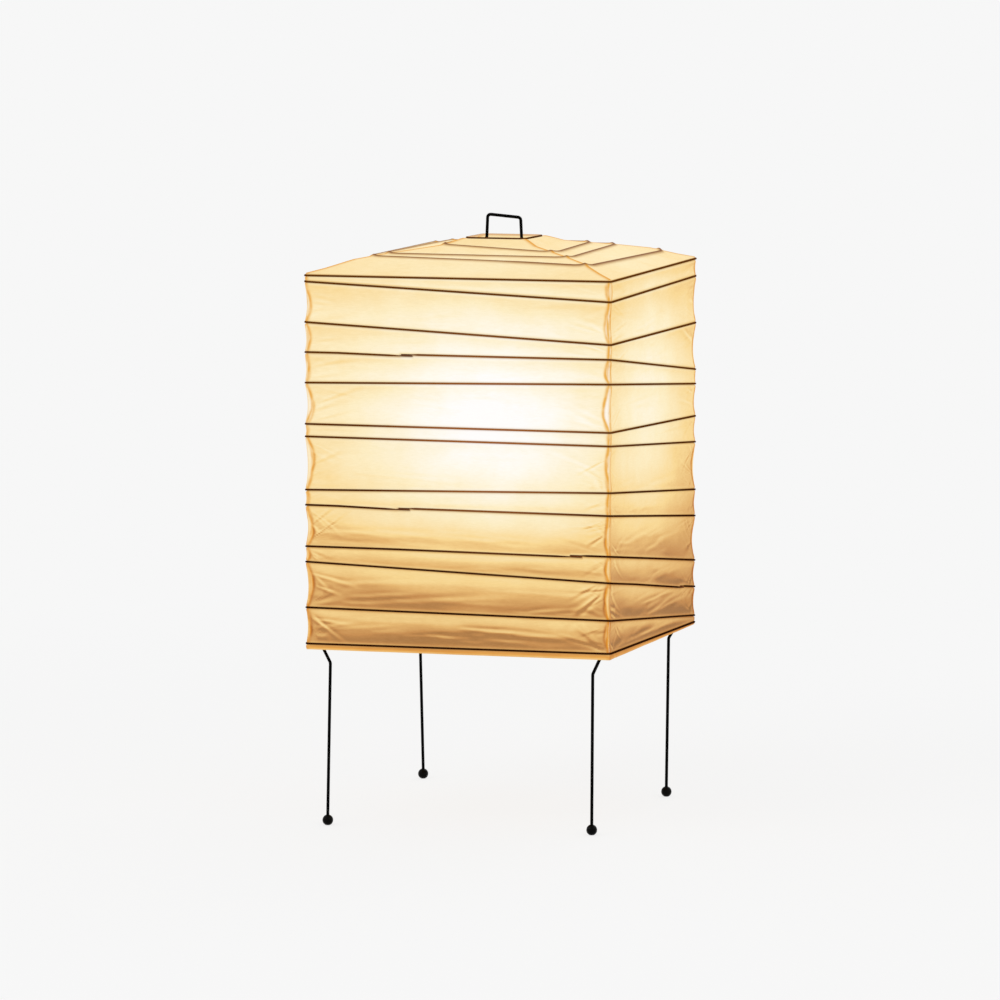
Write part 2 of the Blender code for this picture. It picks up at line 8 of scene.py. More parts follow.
import bpy
import numpy as np
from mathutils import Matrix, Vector


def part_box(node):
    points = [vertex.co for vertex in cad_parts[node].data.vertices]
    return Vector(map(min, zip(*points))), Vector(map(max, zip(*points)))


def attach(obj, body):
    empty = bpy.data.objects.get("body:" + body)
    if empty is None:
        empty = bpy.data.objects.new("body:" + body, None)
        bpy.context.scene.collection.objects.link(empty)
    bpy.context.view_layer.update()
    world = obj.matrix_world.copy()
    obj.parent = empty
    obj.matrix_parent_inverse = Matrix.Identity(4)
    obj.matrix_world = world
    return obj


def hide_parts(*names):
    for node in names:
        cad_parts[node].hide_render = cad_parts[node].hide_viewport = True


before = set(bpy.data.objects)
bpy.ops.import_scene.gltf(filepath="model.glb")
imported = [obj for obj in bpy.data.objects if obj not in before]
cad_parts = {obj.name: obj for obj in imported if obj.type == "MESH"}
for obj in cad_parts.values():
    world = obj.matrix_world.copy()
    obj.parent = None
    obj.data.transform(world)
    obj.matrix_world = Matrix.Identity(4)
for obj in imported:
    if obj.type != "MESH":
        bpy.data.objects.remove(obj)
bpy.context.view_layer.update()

# Camera, found from the photograph's own vanishing lines
CAMERA_PLACE = (1.4812, -4.7437, 0.8506)
CAMERA_YAW = 0.30346
CAMERA_PITCH = 0.11025
CAMERA_LENS = 186.95
CAMERA_FAR = 100.0
SENSOR_WIDTH = 36.0

# Paper and ribs, as in the CAD model
PAPER_THICKNESS = 0.0006
RIB_RADIUS = 0.001
RIB_CORNER_RADIUS = 0.003
RIB_LAP = 0.011
LAP_STEP = 0.0013

# Reading the ribs' meshes: rounds of fitting, and reaches as shares of a rib's radius or lap
PLANE_ROUNDS = 3
PLANE_REACH = 1.05
RING_REACH = 2.1
FACE_REACH = 1.2
LAP_DEEP = 1.2
LAP_RAMP = 1.5

# Smooth wander: share and fineness of its waves, and what their sum is divided by
WANDER_WAVES = ((1.0, 1.0), (0.55, 1.9), (0.3, 3.4))
WANDER_SCALE = 1.6

# Mesh of the wall paper: close columns at the corners, close rows at the ribs
FINE_STEP = 0.0006
FINE_REACH = 0.025
STEP_GROWTH = 1.14
COARSE_STEP = 0.0030
ROW_STEP = 0.0013
CORNER_GAP = 0.00015
WRAP_STEPS = (0.0006, 0.0012, 0.0020)
WRAP_ROOM = 4

# How the wall paper hangs between two ribs: more in the lower bands, and drawn in at the corners
SAG_SHARE_HIGH = 0.032
SAG_SHARE_LOW = 0.195
SAG_MOST = 0.0064
SAG_SKEW_HIGH = 1.0
SAG_SKEW_LOW = 0.85
SAG_UNEVEN = 0.30
SAG_PITCH = 0.23
SKEW_PITCH = 0.17
DRAW_SHARE = 0.068
DRAW_MOST = 0.0031
DRAW_REACH = 0.017
DRAW_SKEW = 1.15
DRAW_RANGE = (0.65, 1.1)

# The hollow that each rib presses into the wall paper, and the painted shade, darker and more orange, on the
# paper beside it
WRAP_DEPTH = 0.0016
WRAP_REACH = 0.0011
RIB_SHADE = 0.40
RIB_SHADE_REACH = 0.0012
RIB_WARM_SHADE = 0.60
RIB_WARM_SHADE_REACH = 0.0012
RIB_HOLD = 0.0024

# Creases: where in a band they start, their turn in degrees, length, and shares of depth and width
CreaseKind = namedtuple("CreaseKind", "drop turn start length depth width")
CORNER_CREASE = CreaseKind((0.05, 0.97), (3, 14), (0.001, 0.010), (0.010, 0.060), (0.35, 1.2), (0.6, 1.4))
FIELD_CREASE = CreaseKind((0.25, 0.95), (-7, 7), (-0.14, 0.10), (0.03, 0.12), (0.2, 0.7), (0.8, 1.8))
STREAK = CreaseKind((0.35, 0.97), (-3, 3), (-0.17, 0.05), (0.08, 0.24), (0.4, 1.0), (0.6, 1.5))
CORNER_CREASES = 2
CORNER_CREASE_PITCH = 0.008
CORNER_CREASE_STEEPER = 34
FIELD_CREASES = 3
FIELD_CREASE_PITCH = 0.009
FIELD_CREASES_LOWER = 2
CREASE_DEPTH = 0.00042
CREASE_FULL_BAND = 0.03
CREASE_FAINT = 0.28
CREASE_STRONGER = 0.92
CREASE_WIDTH = 0.0015
CREASE_FADE = 0.7
CREASE_NARROW = 0.6
CREASE_SPREAD = 0.9
CREASE_HOLD = 0.0030
CREASE_CLEAR = 0.0050
STREAKS = 6
STREAK_DEPTH = 0.0006
STREAK_WIDTH = 0.0019
CORNER_CLEAR = 0.0025

# Hem: rows, tuck, doubled paper with a streak in it, and its cut at the four corners from the front left
HEM_ROWS = 5
HEM_TUCK = 0.0008
HEM_PITCH = 0.09
HEM_FOLD = 0.42
HEM_STREAK = 0.45
HEM_STREAK_AT = 0.55
HEM_STREAK_WIDTH = 0.2
HEM_GLOW = 1.25
HEM_CUT = (0.85, 1.0, 0.40, 0.75)

# Corner seams: two strands that swing away from the corner and back between the ribs
SEAM_RIDGE = 0.00045
SEAM_WIDTH = 0.0015
SEAM_SWING = 0.0050
SEAM_SWING_SHARE = 0.16
SEAM_SWING_RANGE = (0.1, 1.0)
SEAM_SWING_POWER = 1.6
SEAM_LEAN_RANGE = (0.75, 1.5)
SEAM_REST = 0.0011
SEAM_LEAST = 0.0004
SEAM_WAVE = 0.045
SEAM_WANDER = 0.0007
SEAM_FAINT = 0.80
SEAM_STRANDS = (1.0, 0.7)
SEAM_UNEVEN = 0.25
SEAM_EDGE = 0.35
SEAM_EYE_LIGHT = 0.50
SEAM_EYE_LEAST = 2 * SEAM_REST

# Roof paper, with painted shadows of the ribs under it, as lines
ROOF_ROW_STEP = 0.0007
ROOF_COLUMNS = 81
ROOF_CROWDING = 1.7
ROOF_ROW_APART = 0.0012
HIP_GAP = 0.0003
HIP_WIDTH = 0.0019
HIP_RIDGE = 0.0004
HIP_FOLD = 1.0
HIP_TAUT = 0.010
RIB_TAUT = 0.006
ROOF_RIB_SHADOW_BLUR = 0.0021
ROOF_RIB_RIDGE = 0.0016
ROOF_RIB_WIDTH = 0.0026
ROOF_RIB_SHADOW = 0.95
ROOF_RIB_WARM_SHADE = 0.55
RIM_CORNER_RADIUS = 0.007
OPENING_REACH = 0.012
RIM_SINK = 0.0006
RIM_SINK_REACH = 0.0030
DIMPLES = 14
DIMPLE_ALONG = (-0.12, 0.12)
DIMPLE_OUT = (0.05, 0.13)
DIMPLE_SHARE = (0.1, 0.35)
DIMPLE_DEPTH = 0.001
DIMPLE_LENGTH = 0.030
DIMPLE_WIDTH = 0.004
DIMPLE_SHADE = 0.12

# Glow: where each side is brightest, how wide, and what is left of it low down
Glow = namedtuple("Glow", "along height reach power gain keep haze low floor ends")
UNSEEN_GLOW = Glow(0.000, 0.388, 0.190, 2.80, 0.560, 0.350, 0.190, 0.298, 0.120, 0.12)
GLOWS = (
    Glow(0.032, 0.376, 0.172, 2.73, 0.706, 0.105, 0.222, 0.291, 0.156, 0.25),
    Glow(-0.024, 0.399, 0.219, 2.85, 0.418, 0.612, 0.138, 0.307, 0.102, 0.00),
    UNSEEN_GLOW,
    UNSEEN_GLOW,
)
GLOW_BLEND = 0.035
FOLD_SHADE = 1.5
FOLD_DARKEST = 0.28
FOLD_BRIGHTEST = 1.5
FOLD_GRAZING = 0.15
ROOF_GLOW = 0.41
ROOF_GLOW_MIDDLE = 0.10
ROOF_GLOW_AT = 0.115
ROOF_GLOW_REACH = (0.09, 0.05)

# Paper: its own colour, the tint of doubled paper that also paints shade beside the ribs, the tint of the
# painted rib shadows, and how it scatters light
PAPER_BASE = ((0.3, (0.165, 0.092, 0.034)), (0.7, (0.205, 0.122, 0.050)))
DOUBLED_AND_SHADED_TINT = (0.84, 0.50, 0.13)
RIB_SHADOW_TINT = (0.20, 0.07, 0.02)
PAPER_CLOUDY = (0.93, 1.07)
PAPER_FIBROUS = (0.95, 1.05)
PAPER_ROUGH = (0.72, 0.9)
PAPER_SPECULAR = 0.15
PAPER_GRAIN_SHARE = 0.5

# Light through the paper from the darkest fold to the hot spot, beyond what the studio light adds
PAPER_LIGHT = (
    (0.00, (0.06, 0.012, 0.000)),
    (0.09, (0.38, 0.160, 0.040)),
    (0.20, (0.60, 0.360, 0.120)),
    (0.32, (0.755, 0.570, 0.245)),
    (0.55, (0.795, 0.735, 0.500)),
    (0.85, (0.815, 0.845, 0.800)),
    (1.00, (0.820, 0.870, 0.920)),
)

# Stained bamboo: dark and pale colour of its grain, and range of its roughness
RIB_STAIN = ((0.3, (0.010, 0.003, 0.001)), (0.7, (0.024, 0.007, 0.002)))
ROOF_RIB_STAIN = ((0.3, (0.040, 0.018, 0.006)), (0.7, (0.070, 0.032, 0.011)))
RIM_STAIN = ((0.3, (0.020, 0.008, 0.003)), (0.7, (0.045, 0.017, 0.006)))
BAMBOO_ROUGH = (0.6, 0.85)

# Painted glow of the ribs, for the light of the paper they lie on: from the hem up to the eave, at the hot
# spot, and dimmer as painted shade at laps
RIB_PAINTED_GLOW = (
    (0.00, (0.010, 0.001, 0.000)),
    (0.25, (0.022, 0.003, 0.000)),
    (0.45, (0.055, 0.012, 0.000)),
    (0.75, (0.090, 0.025, 0.001)),
    (1.00, (0.095, 0.028, 0.002)),
)
ROOF_RIB_PAINTED_GLOW = ((0.00, (0.160, 0.070, 0.015)), (1.00, (0.200, 0.085, 0.020)))
RIB_HOT_SPOT_GLOW = (0.30, 0.10, 0.025)
RIB_HOT_SPOT_REACH = (0.02, 0.15)
RIB_LAP_SHADE = (0.042, 0.003, 0.000)
RIB_LAP_SHADE_REACH = (0.0055, 0.0070)

# The rim's light outside and inside, and how far it faces inward for that, as shares of its reach
RIM_SHADE = (0.060, 0.018, 0.002)
RIM_LIT = (0.72, 0.46, 0.24)
RIM_FACING = (-0.8, 0.2)

# Paints and metals: colours of their patches, range of roughness, and specular level of the paints
Finish = namedtuple("Finish", "dark pale rough specular", defaults=(None,))
WIRE_PAINT = Finish((0.0004, 0.0004, 0.0004), (0.0016, 0.0015, 0.0014), (0.40, 0.55), 0.02)
BALL_PAINT = Finish((0.0008, 0.0007, 0.0006), (0.0030, 0.0022, 0.0016), (0.12, 0.28), 0.05)
HOLDER_PLASTIC = Finish((0.018, 0.017, 0.016), (0.034, 0.032, 0.030), (0.35, 0.55), 0.40)
CERAMIC = Finish((0.72, 0.70, 0.64), (0.82, 0.80, 0.75), (0.20, 0.35), 0.50)
STEEL = Finish((0.42, 0.41, 0.39), (0.58, 0.57, 0.55), (0.25, 0.45))
BRASS = Finish((0.55, 0.38, 0.15), (0.74, 0.56, 0.27), (0.22, 0.40))
PAINT_STOPS = (0.35, 0.75)
METAL_STOPS = (0.3, 0.7)

# Opal glass of the bulb: its own colour, its light from the neck to the top, and how strong that is
GLASS_BASE = ((0.3, (0.80, 0.76, 0.68)), (0.7, (0.88, 0.85, 0.78)))
GLASS_ROUGH = (0.25, 0.4)
GLASS_LIGHT = (
    (0.1, (0.85, 0.55, 0.25)),
    (0.45, (1.0, 0.86, 0.62)),
    (0.7, (1.0, 0.92, 0.75)),
    (1.0, (1.0, 0.88, 0.66)),
)
GLASS_STRENGTH = 1.6

# Noise of the materials, with the stretch of its coordinates where it has a direction
Noise = namedtuple("Noise", "scale detail roughness stretch", defaults=(None,))
PAPER_CLOUDS = Noise(38.0, 4.0, 0.6)
PAPER_FIBRES = Noise(1.0, 5.0, 0.65, (150.0, 150.0, 900.0))
PAPER_GRAIN = Noise(1900.0, 2.0, 0.5)
BAMBOO_GRAIN = Noise(1.0, 4.0, 0.6, (90.0, 90.0, 700.0))
PAINT_PATCHES = Noise(120.0, 4.0, 0.6)
PAINT_GRAIN = Noise(1400.0, 2.0, 0.5)
METAL_RINGS = Noise(1.0, 3.0, 0.6, (60.0, 60.0, 2500.0))
GLASS_HAZE = Noise(60.0, 3.0, 0.5)
NOISE_RANGE = (0.25, 0.75)

# Bump of the materials: strength and distance
PAPER_BUMP = (0.12, 0.0004)
BAMBOO_BUMP = (0.3, 0.0003)
PAINT_BUMP = (0.08, 0.0002)
METAL_BUMP = (0.1, 0.0002)

# Background, floor and studio light
BACKGROUND = 0.930
FLOOR_RADIUS = 4.0
FLOOR_TURNS = 96
FLOOR_DROP = 0.0002
FLOOR_COLOUR = 0.93
SHADOW_SHARE = 0.16
SHADOW_FADE = (0.7, 1.6)
WORLD_LEVEL = 0.78
LIGHT_TARGET = (0.0, 0.0, 0.3)
LIGHT_SIZE = 1.6
Light = namedtuple("Light", "name place power")
LIGHTS = (
    Light("key", (-1.3, -1.8, 1.9), 16.0),
    Light("fill", (1.9, -1.0, 1.2), 6.0),
    Light("back", (0.6, 2.0, 1.6), 8.0),
)

# Seeds of the random draws
SEED = 20
BAND_SEED = 7
SAG_SEED = 90
CREASE_SEED = 40
DIMPLE_SEED = 70
HEM_SEED = 300
SEAM_SEED = 500
STRAND_SEED = 10
STRENGTH_SEED = 600

SIDES = ("front", "right", "back", "left")


def points_of(node):
    """All mesh points of a CAD node, as an array."""
    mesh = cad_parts[node].data
    flat = np.empty(len(mesh.vertices) * 3)
    mesh.vertices.foreach_get("co", flat)
    return flat.reshape(-1, 3)


def plane_of(node):
    """Middle plane of a rib: height at the axis and slopes in x and y, its dropped ends left out."""
    points = points_of(node)
    table = np.c_[np.ones(len(points)), points[:, :2]]
    keep = np.ones(len(points), bool)
    plane = None
    for _ in range(PLANE_ROUNDS):
        plane = np.linalg.lstsq(table[keep], points[keep, 2], rcond=None)[0]
        miss = points[:, 2] - table @ plane
        keep = np.abs(miss) < PLANE_REACH * RIB_RADIUS
    return plane


def on_side(side, along, out):
    """Plan place on one side: along to the right seen from outside, out from the axis."""
    x, y = along, -out
    for _ in range(side):
        x, y = -y, x
    return x, y


def off_side(side, x, y):
    """The same the other way: along and out of a plan place."""
    for _ in range(side):
        x, y = y, -x
    return x, -y


def rings_of(node):
    """Middles of the rings of points that a tube's mesh is made of."""
    points = points_of(node)
    found = []
    while len(points):
        near = np.linalg.norm(points - points[0], axis=1) < RING_REACH * RIB_RADIUS
        found.append(points[near].mean(axis=0))
        points = points[~near]
    return np.array(found)


def wander(places, pitch, seed):
    """Smooth wander between about -1 and 1 along a line, the same on every run."""
    draw = np.random.default_rng(seed)
    total = np.zeros_like(places)
    for share, finer in WANDER_WAVES:
        total = total + share * np.sin(2 * math.pi * places * finer / pitch + draw.uniform(0, 2 * math.pi))
    return total / WANDER_SCALE


def plane_height(plane, x, y):
    return plane[0] + plane[1] * x + plane[2] * y


# Ribs and sizes read from the CAD model
WALL_RIBS = sorted((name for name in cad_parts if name.startswith("rib_")),
                   key=lambda name: -plane_of(name)[0])
RIB_PLANES = [plane_of(name) for name in WALL_RIBS]
BANDS = len(RIB_PLANES) - 1
ROOF_RIBS = sorted(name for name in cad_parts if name.startswith("roof_rib_"))
RIB_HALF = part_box("rib_eave")[1].x - RIB_RADIUS
PAPER_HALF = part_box("paper_wall_right")[1].x
WALL_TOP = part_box("rib_eave")[1].z
WALL_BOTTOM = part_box("paper_wall_front")[0].z
WALL_SPAN = WALL_TOP - WALL_BOTTOM
HEM_DROP = plane_height(RIB_PLANES[-1], -PAPER_HALF, -PAPER_HALF) - WALL_BOTTOM
BULB = (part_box("bulb_glass")[0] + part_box("bulb_glass")[1]) / 2
CORNER_CENTRE = RIB_HALF - RIB_CORNER_RADIUS
CORNER_BEND = PAPER_HALF - CORNER_CENTRE
CORNER_ARC = CORNER_BEND * math.pi / 4
SHEET_HALF = CORNER_ARC + CORNER_CENTRE


def corner_distances():
    """Distances from a corner to the middle of a side along the paper, closer together near the corner."""
    places = [CORNER_GAP]
    step = FINE_STEP
    while places[-1] < SHEET_HALF:
        places.append(places[-1] + step)
        if places[-1] > FINE_REACH:
            step = min(step * STEP_GROWTH, COARSE_STEP)
    places = np.array(places)
    near = places <= FINE_REACH
    last = places[near][-1]
    stretch = (SHEET_HALF - last) / (places[-1] - last)
    places[~near] = last + (places[~near] - last) * stretch
    return places


def plan_of(distances):
    """Along and out of points at these distances from the right-hand corner."""
    angle = math.pi / 4 - distances / CORNER_BEND
    in_bend = distances < CORNER_ARC
    along = np.where(in_bend, CORNER_CENTRE + CORNER_BEND * np.sin(angle), SHEET_HALF - distances)
    out = np.where(in_bend, CORNER_CENTRE + CORNER_BEND * np.cos(angle), PAPER_HALF)
    return along, out


def lap_of(side, number):
    """Where a rib's ends lap on this side: start of the ramp down, its foot and the end."""
    points = points_of(WALL_RIBS[number])
    along, out = off_side(side, points[:, 0], points[:, 1])
    here = out > RIB_HALF - FACE_REACH * RIB_RADIUS
    deep = plane_height(RIB_PLANES[number], points[:, 0], points[:, 1]) - points[:, 2]
    low = here & (deep > LAP_DEEP * RIB_RADIUS)
    if not low.any():
        return None
    end = along[low].max()
    foot = end - RIB_LAP - LAP_STEP
    ramp = along[here & (along < foot - LAP_RAMP * RIB_LAP)].max()
    return ramp, foot, end


def rib_course(side, number, along, x, y):
    """Middle height of a rib at points of a side, and half the height of what lies there beyond one rib."""
    centre = plane_height(RIB_PLANES[number], x, y)
    lap = lap_of(side, number)
    if lap is None:
        return centre, np.zeros_like(x)
    ramp, foot, end = lap
    lapped = np.interp(along, (foot, foot + RIB_RADIUS, end, end + RIB_RADIUS),
                       (0.0, LAP_STEP / 2, LAP_STEP / 2, 0.0))
    fall = np.interp(along, (ramp, foot, end, end + RIB_RADIUS), (0.0, LAP_STEP, LAP_STEP, 0.0))
    return centre - fall + lapped, lapped


def lap_middles():
    """Middles of the places where the ends of wall ribs lap."""
    found = []
    for number, plane in enumerate(RIB_PLANES):
        for side in range(4):
            lap = lap_of(side, number)
            if lap is not None:
                x, y = on_side(side, (lap[1] + lap[2]) / 2, RIB_HALF)
                found.append((x, y, plane_height(plane, x, y) - LAP_STEP / 2))
    return found


def wrap_at(height, centre, half):
    """How far out of a rib's hollow the paper has come: zero where the rib lies, one well clear of it."""
    clear = np.maximum(np.abs(height - centre) - half, 0.0)
    return 1 - np.exp(-(clear / WRAP_REACH) ** 2)


class Corner:
    """How the paper lies at one corner: the draw-in of each band, and each sheet's strands of seam."""

    def __init__(self, number):
        draw = np.random.default_rng(SEED + number)
        strands = (2, len(SEAM_STRANDS), BANDS)
        self.draw_in = draw.uniform(*DRAW_RANGE, BANDS)
        self.swing = draw.uniform(*SEAM_SWING_RANGE, strands) ** SEAM_SWING_POWER
        self.lean = draw.uniform(*SEAM_LEAN_RANGE, strands)


CORNERS = [Corner(number) for number in range(4)]


def band_heights(upper, lower):
    """Heights of the rows of one band: close together at the ribs, which the paper wraps."""
    tall = upper - lower
    scale = np.minimum(1.0, tall / (WRAP_ROOM * WRAP_STEPS[-1]))
    rows = [upper] + [upper - scale * step for step in WRAP_STEPS]
    first = rows[-1]
    last = lower + scale * WRAP_STEPS[-1]
    count = max(2, int(round((first - last).max() / ROW_STEP)))
    for step in range(1, count):
        rows.append(first + (last - first) * step / count)
    rows += [lower + scale * step for step in reversed(WRAP_STEPS)]
    return rows


Crease = namedtuple("Crease", "start top run rise length depth width")


def corner_crease(end, high, tall, lowness, strength, draw):
    """A crease that runs in from a corner, away from the nearer rib."""
    kind = CORNER_CREASE
    drop = draw.uniform(*kind.drop)
    start = end * (SHEET_HALF - draw.uniform(*kind.start))
    steepest = kind.turn[1] + CORNER_CREASE_STEEPER * lowness
    turn = math.radians(draw.uniform(kind.turn[0], steepest)) * (1 if drop > 0.5 else -1)
    return Crease(start, high - drop * tall, -end * math.cos(turn), math.sin(turn),
                  draw.uniform(*kind.length), strength * draw.uniform(*kind.depth),
                  CREASE_WIDTH * draw.uniform(*kind.width))


def long_crease(kind, high, tall, depth, width, draw):
    """A crease that runs along a band."""
    drop = draw.uniform(*kind.drop)
    turn = math.radians(draw.uniform(*kind.turn))
    return Crease(draw.uniform(*kind.start), high - drop * tall, math.cos(turn), math.sin(turn),
                  draw.uniform(*kind.length), depth * draw.uniform(*kind.depth),
                  width * draw.uniform(*kind.width))


def creases_of(high, low, lowness, draw):
    """Creases of a band: from both corners, along its field, and streaks in the lower bands."""
    found = []
    tall = high - low
    strength = CREASE_DEPTH * min(1.0, tall / CREASE_FULL_BAND)
    strength = strength * (CREASE_FAINT + CREASE_STRONGER * lowness ** 2)
    for end in (-1, 1):
        for _ in range(CORNER_CREASES + int(tall * (1 + lowness) / CORNER_CREASE_PITCH)):
            found.append(corner_crease(end, high, tall, lowness, strength, draw))
    for _ in range(FIELD_CREASES + int(tall * (1 + FIELD_CREASES_LOWER * lowness) / FIELD_CREASE_PITCH)):
        found.append(long_crease(FIELD_CREASE, high, tall, strength, CREASE_WIDTH, draw))
    for _ in range(int(STREAKS * lowness ** 2)):
        found.append(long_crease(STREAK, high, tall, STREAK_DEPTH * lowness, STREAK_WIDTH, draw))
    return found


def crease_relief(creases, place, height):
    """Relief of the creases over a sheet: each a ridge beside a furrow, as high and deep as it says."""
    relief = np.zeros_like(height)
    for crease in creases:
        run, rise = crease.run, crease.rise
        forward = (place - crease.start) * run + (height - crease.top) * rise
        across = -(place - crease.start) * rise + (height - crease.top) * run
        share = np.clip(forward / crease.length, 0.0, 1.0)
        fade = np.sin(math.pi * share ** CREASE_FADE)
        wide = crease.width * (CREASE_NARROW + CREASE_SPREAD * share)
        relief += crease.depth * fade * (across / wide) * np.exp(0.5 - (across / wide) ** 2 / 2)
    return relief


def grid_normals(places):
    """Outward normals of a grid of points whose rows go down and columns go right."""
    down = np.gradient(places, axis=0)
    right = np.gradient(places, axis=1)
    normal = np.cross(down, right)
    return normal / np.linalg.norm(normal, axis=2, keepdims=True)


def glow_level(side, along, height):
    """Light that comes through flat paper on one side."""
    glow = GLOWS[side]
    far = (along - glow.along) ** 2 + (height - glow.height) ** 2
    spot = glow.gain * (glow.reach ** 2 / (glow.reach ** 2 + far)) ** glow.power
    upper = 1 / (1 + np.exp((glow.low - height) / GLOW_BLEND))
    ends = 1 + glow.ends * (1 - upper) * (along / PAPER_HALF) ** 2
    return spot * (glow.keep + (1 - glow.keep) * upper) + glow.haze * upper + glow.floor * ends


def fold_shade(places, normals, flat):
    """How much more or less light than flat paper a fold takes from the bulb inside."""
    to_bulb = np.array(BULB) - places
    to_bulb = to_bulb / np.linalg.norm(to_bulb, axis=2, keepdims=True)
    facing = -(normals * to_bulb).sum(axis=2)
    plain = -(np.array(flat) * to_bulb).sum(axis=2)
    ratio = facing / np.maximum(plain, FOLD_GRAZING)
    return np.clip(1 + FOLD_SHADE * (ratio - 1), FOLD_DARKEST, FOLD_BRIGHTEST)


def make_sheet(name, places, shown, material, node):
    """A sheet of paper over a grid of points, with what is painted on it: light, doubled places and painted
    shade beside ribs, painted rib shadows.
    """
    rows, columns = places.shape[:2]
    index = np.arange(rows * columns).reshape(rows, columns)
    quads = np.stack([index[:-1, :-1], index[1:, :-1], index[1:, 1:], index[:-1, 1:]], axis=-1)
    mesh = bpy.data.meshes.new(name)
    mesh.from_pydata(places.reshape(-1, 3).tolist(), [], quads.reshape(-1, 4).tolist())
    for title, values in shown.items():
        attribute = mesh.attributes.new(title, "FLOAT", "POINT")
        attribute.data.foreach_set("value", np.ascontiguousarray(values.reshape(-1), dtype=np.float32))
    mesh.polygons.foreach_set("use_smooth", np.ones(len(mesh.polygons), bool))
    mesh.materials.append(material)
    piece = bpy.data.objects.new(name, mesh)
    bpy.context.scene.collection.objects.link(piece)
    thick = piece.modifiers.new("thickness", "SOLIDIFY")
    thick.thickness = PAPER_THICKNESS
    thick.offset = -1.0
    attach(piece, "shade")
    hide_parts(node)


def wall_columns():
    """Columns of a wall from left to right: along, out, distance from the corner and from the middle."""
    half = corner_distances()
    right_along, right_out = plan_of(half)
    along = np.concatenate([-right_along, right_along[-2::-1]])
    out = np.concatenate([right_out, right_out[-2::-1]])
    distance = np.concatenate([half, half[-2::-1]])
    place = np.concatenate([half - SHEET_HALF, (SHEET_HALF - half)[-2::-1]])
    return along, out, distance, place


def hem_share(x, y):
    """How deep the hem is cut at a place round the shade, as a share of the deepest."""
    right = np.clip((x + PAPER_HALF) / (2 * PAPER_HALF), 0.0, 1.0)
    back = np.clip((y + PAPER_HALF) / (2 * PAPER_HALF), 0.0, 1.0)
    front = HEM_CUT[0] + (HEM_CUT[1] - HEM_CUT[0]) * right
    rear = HEM_CUT[3] + (HEM_CUT[2] - HEM_CUT[3]) * right
    return front + (rear - front) * back


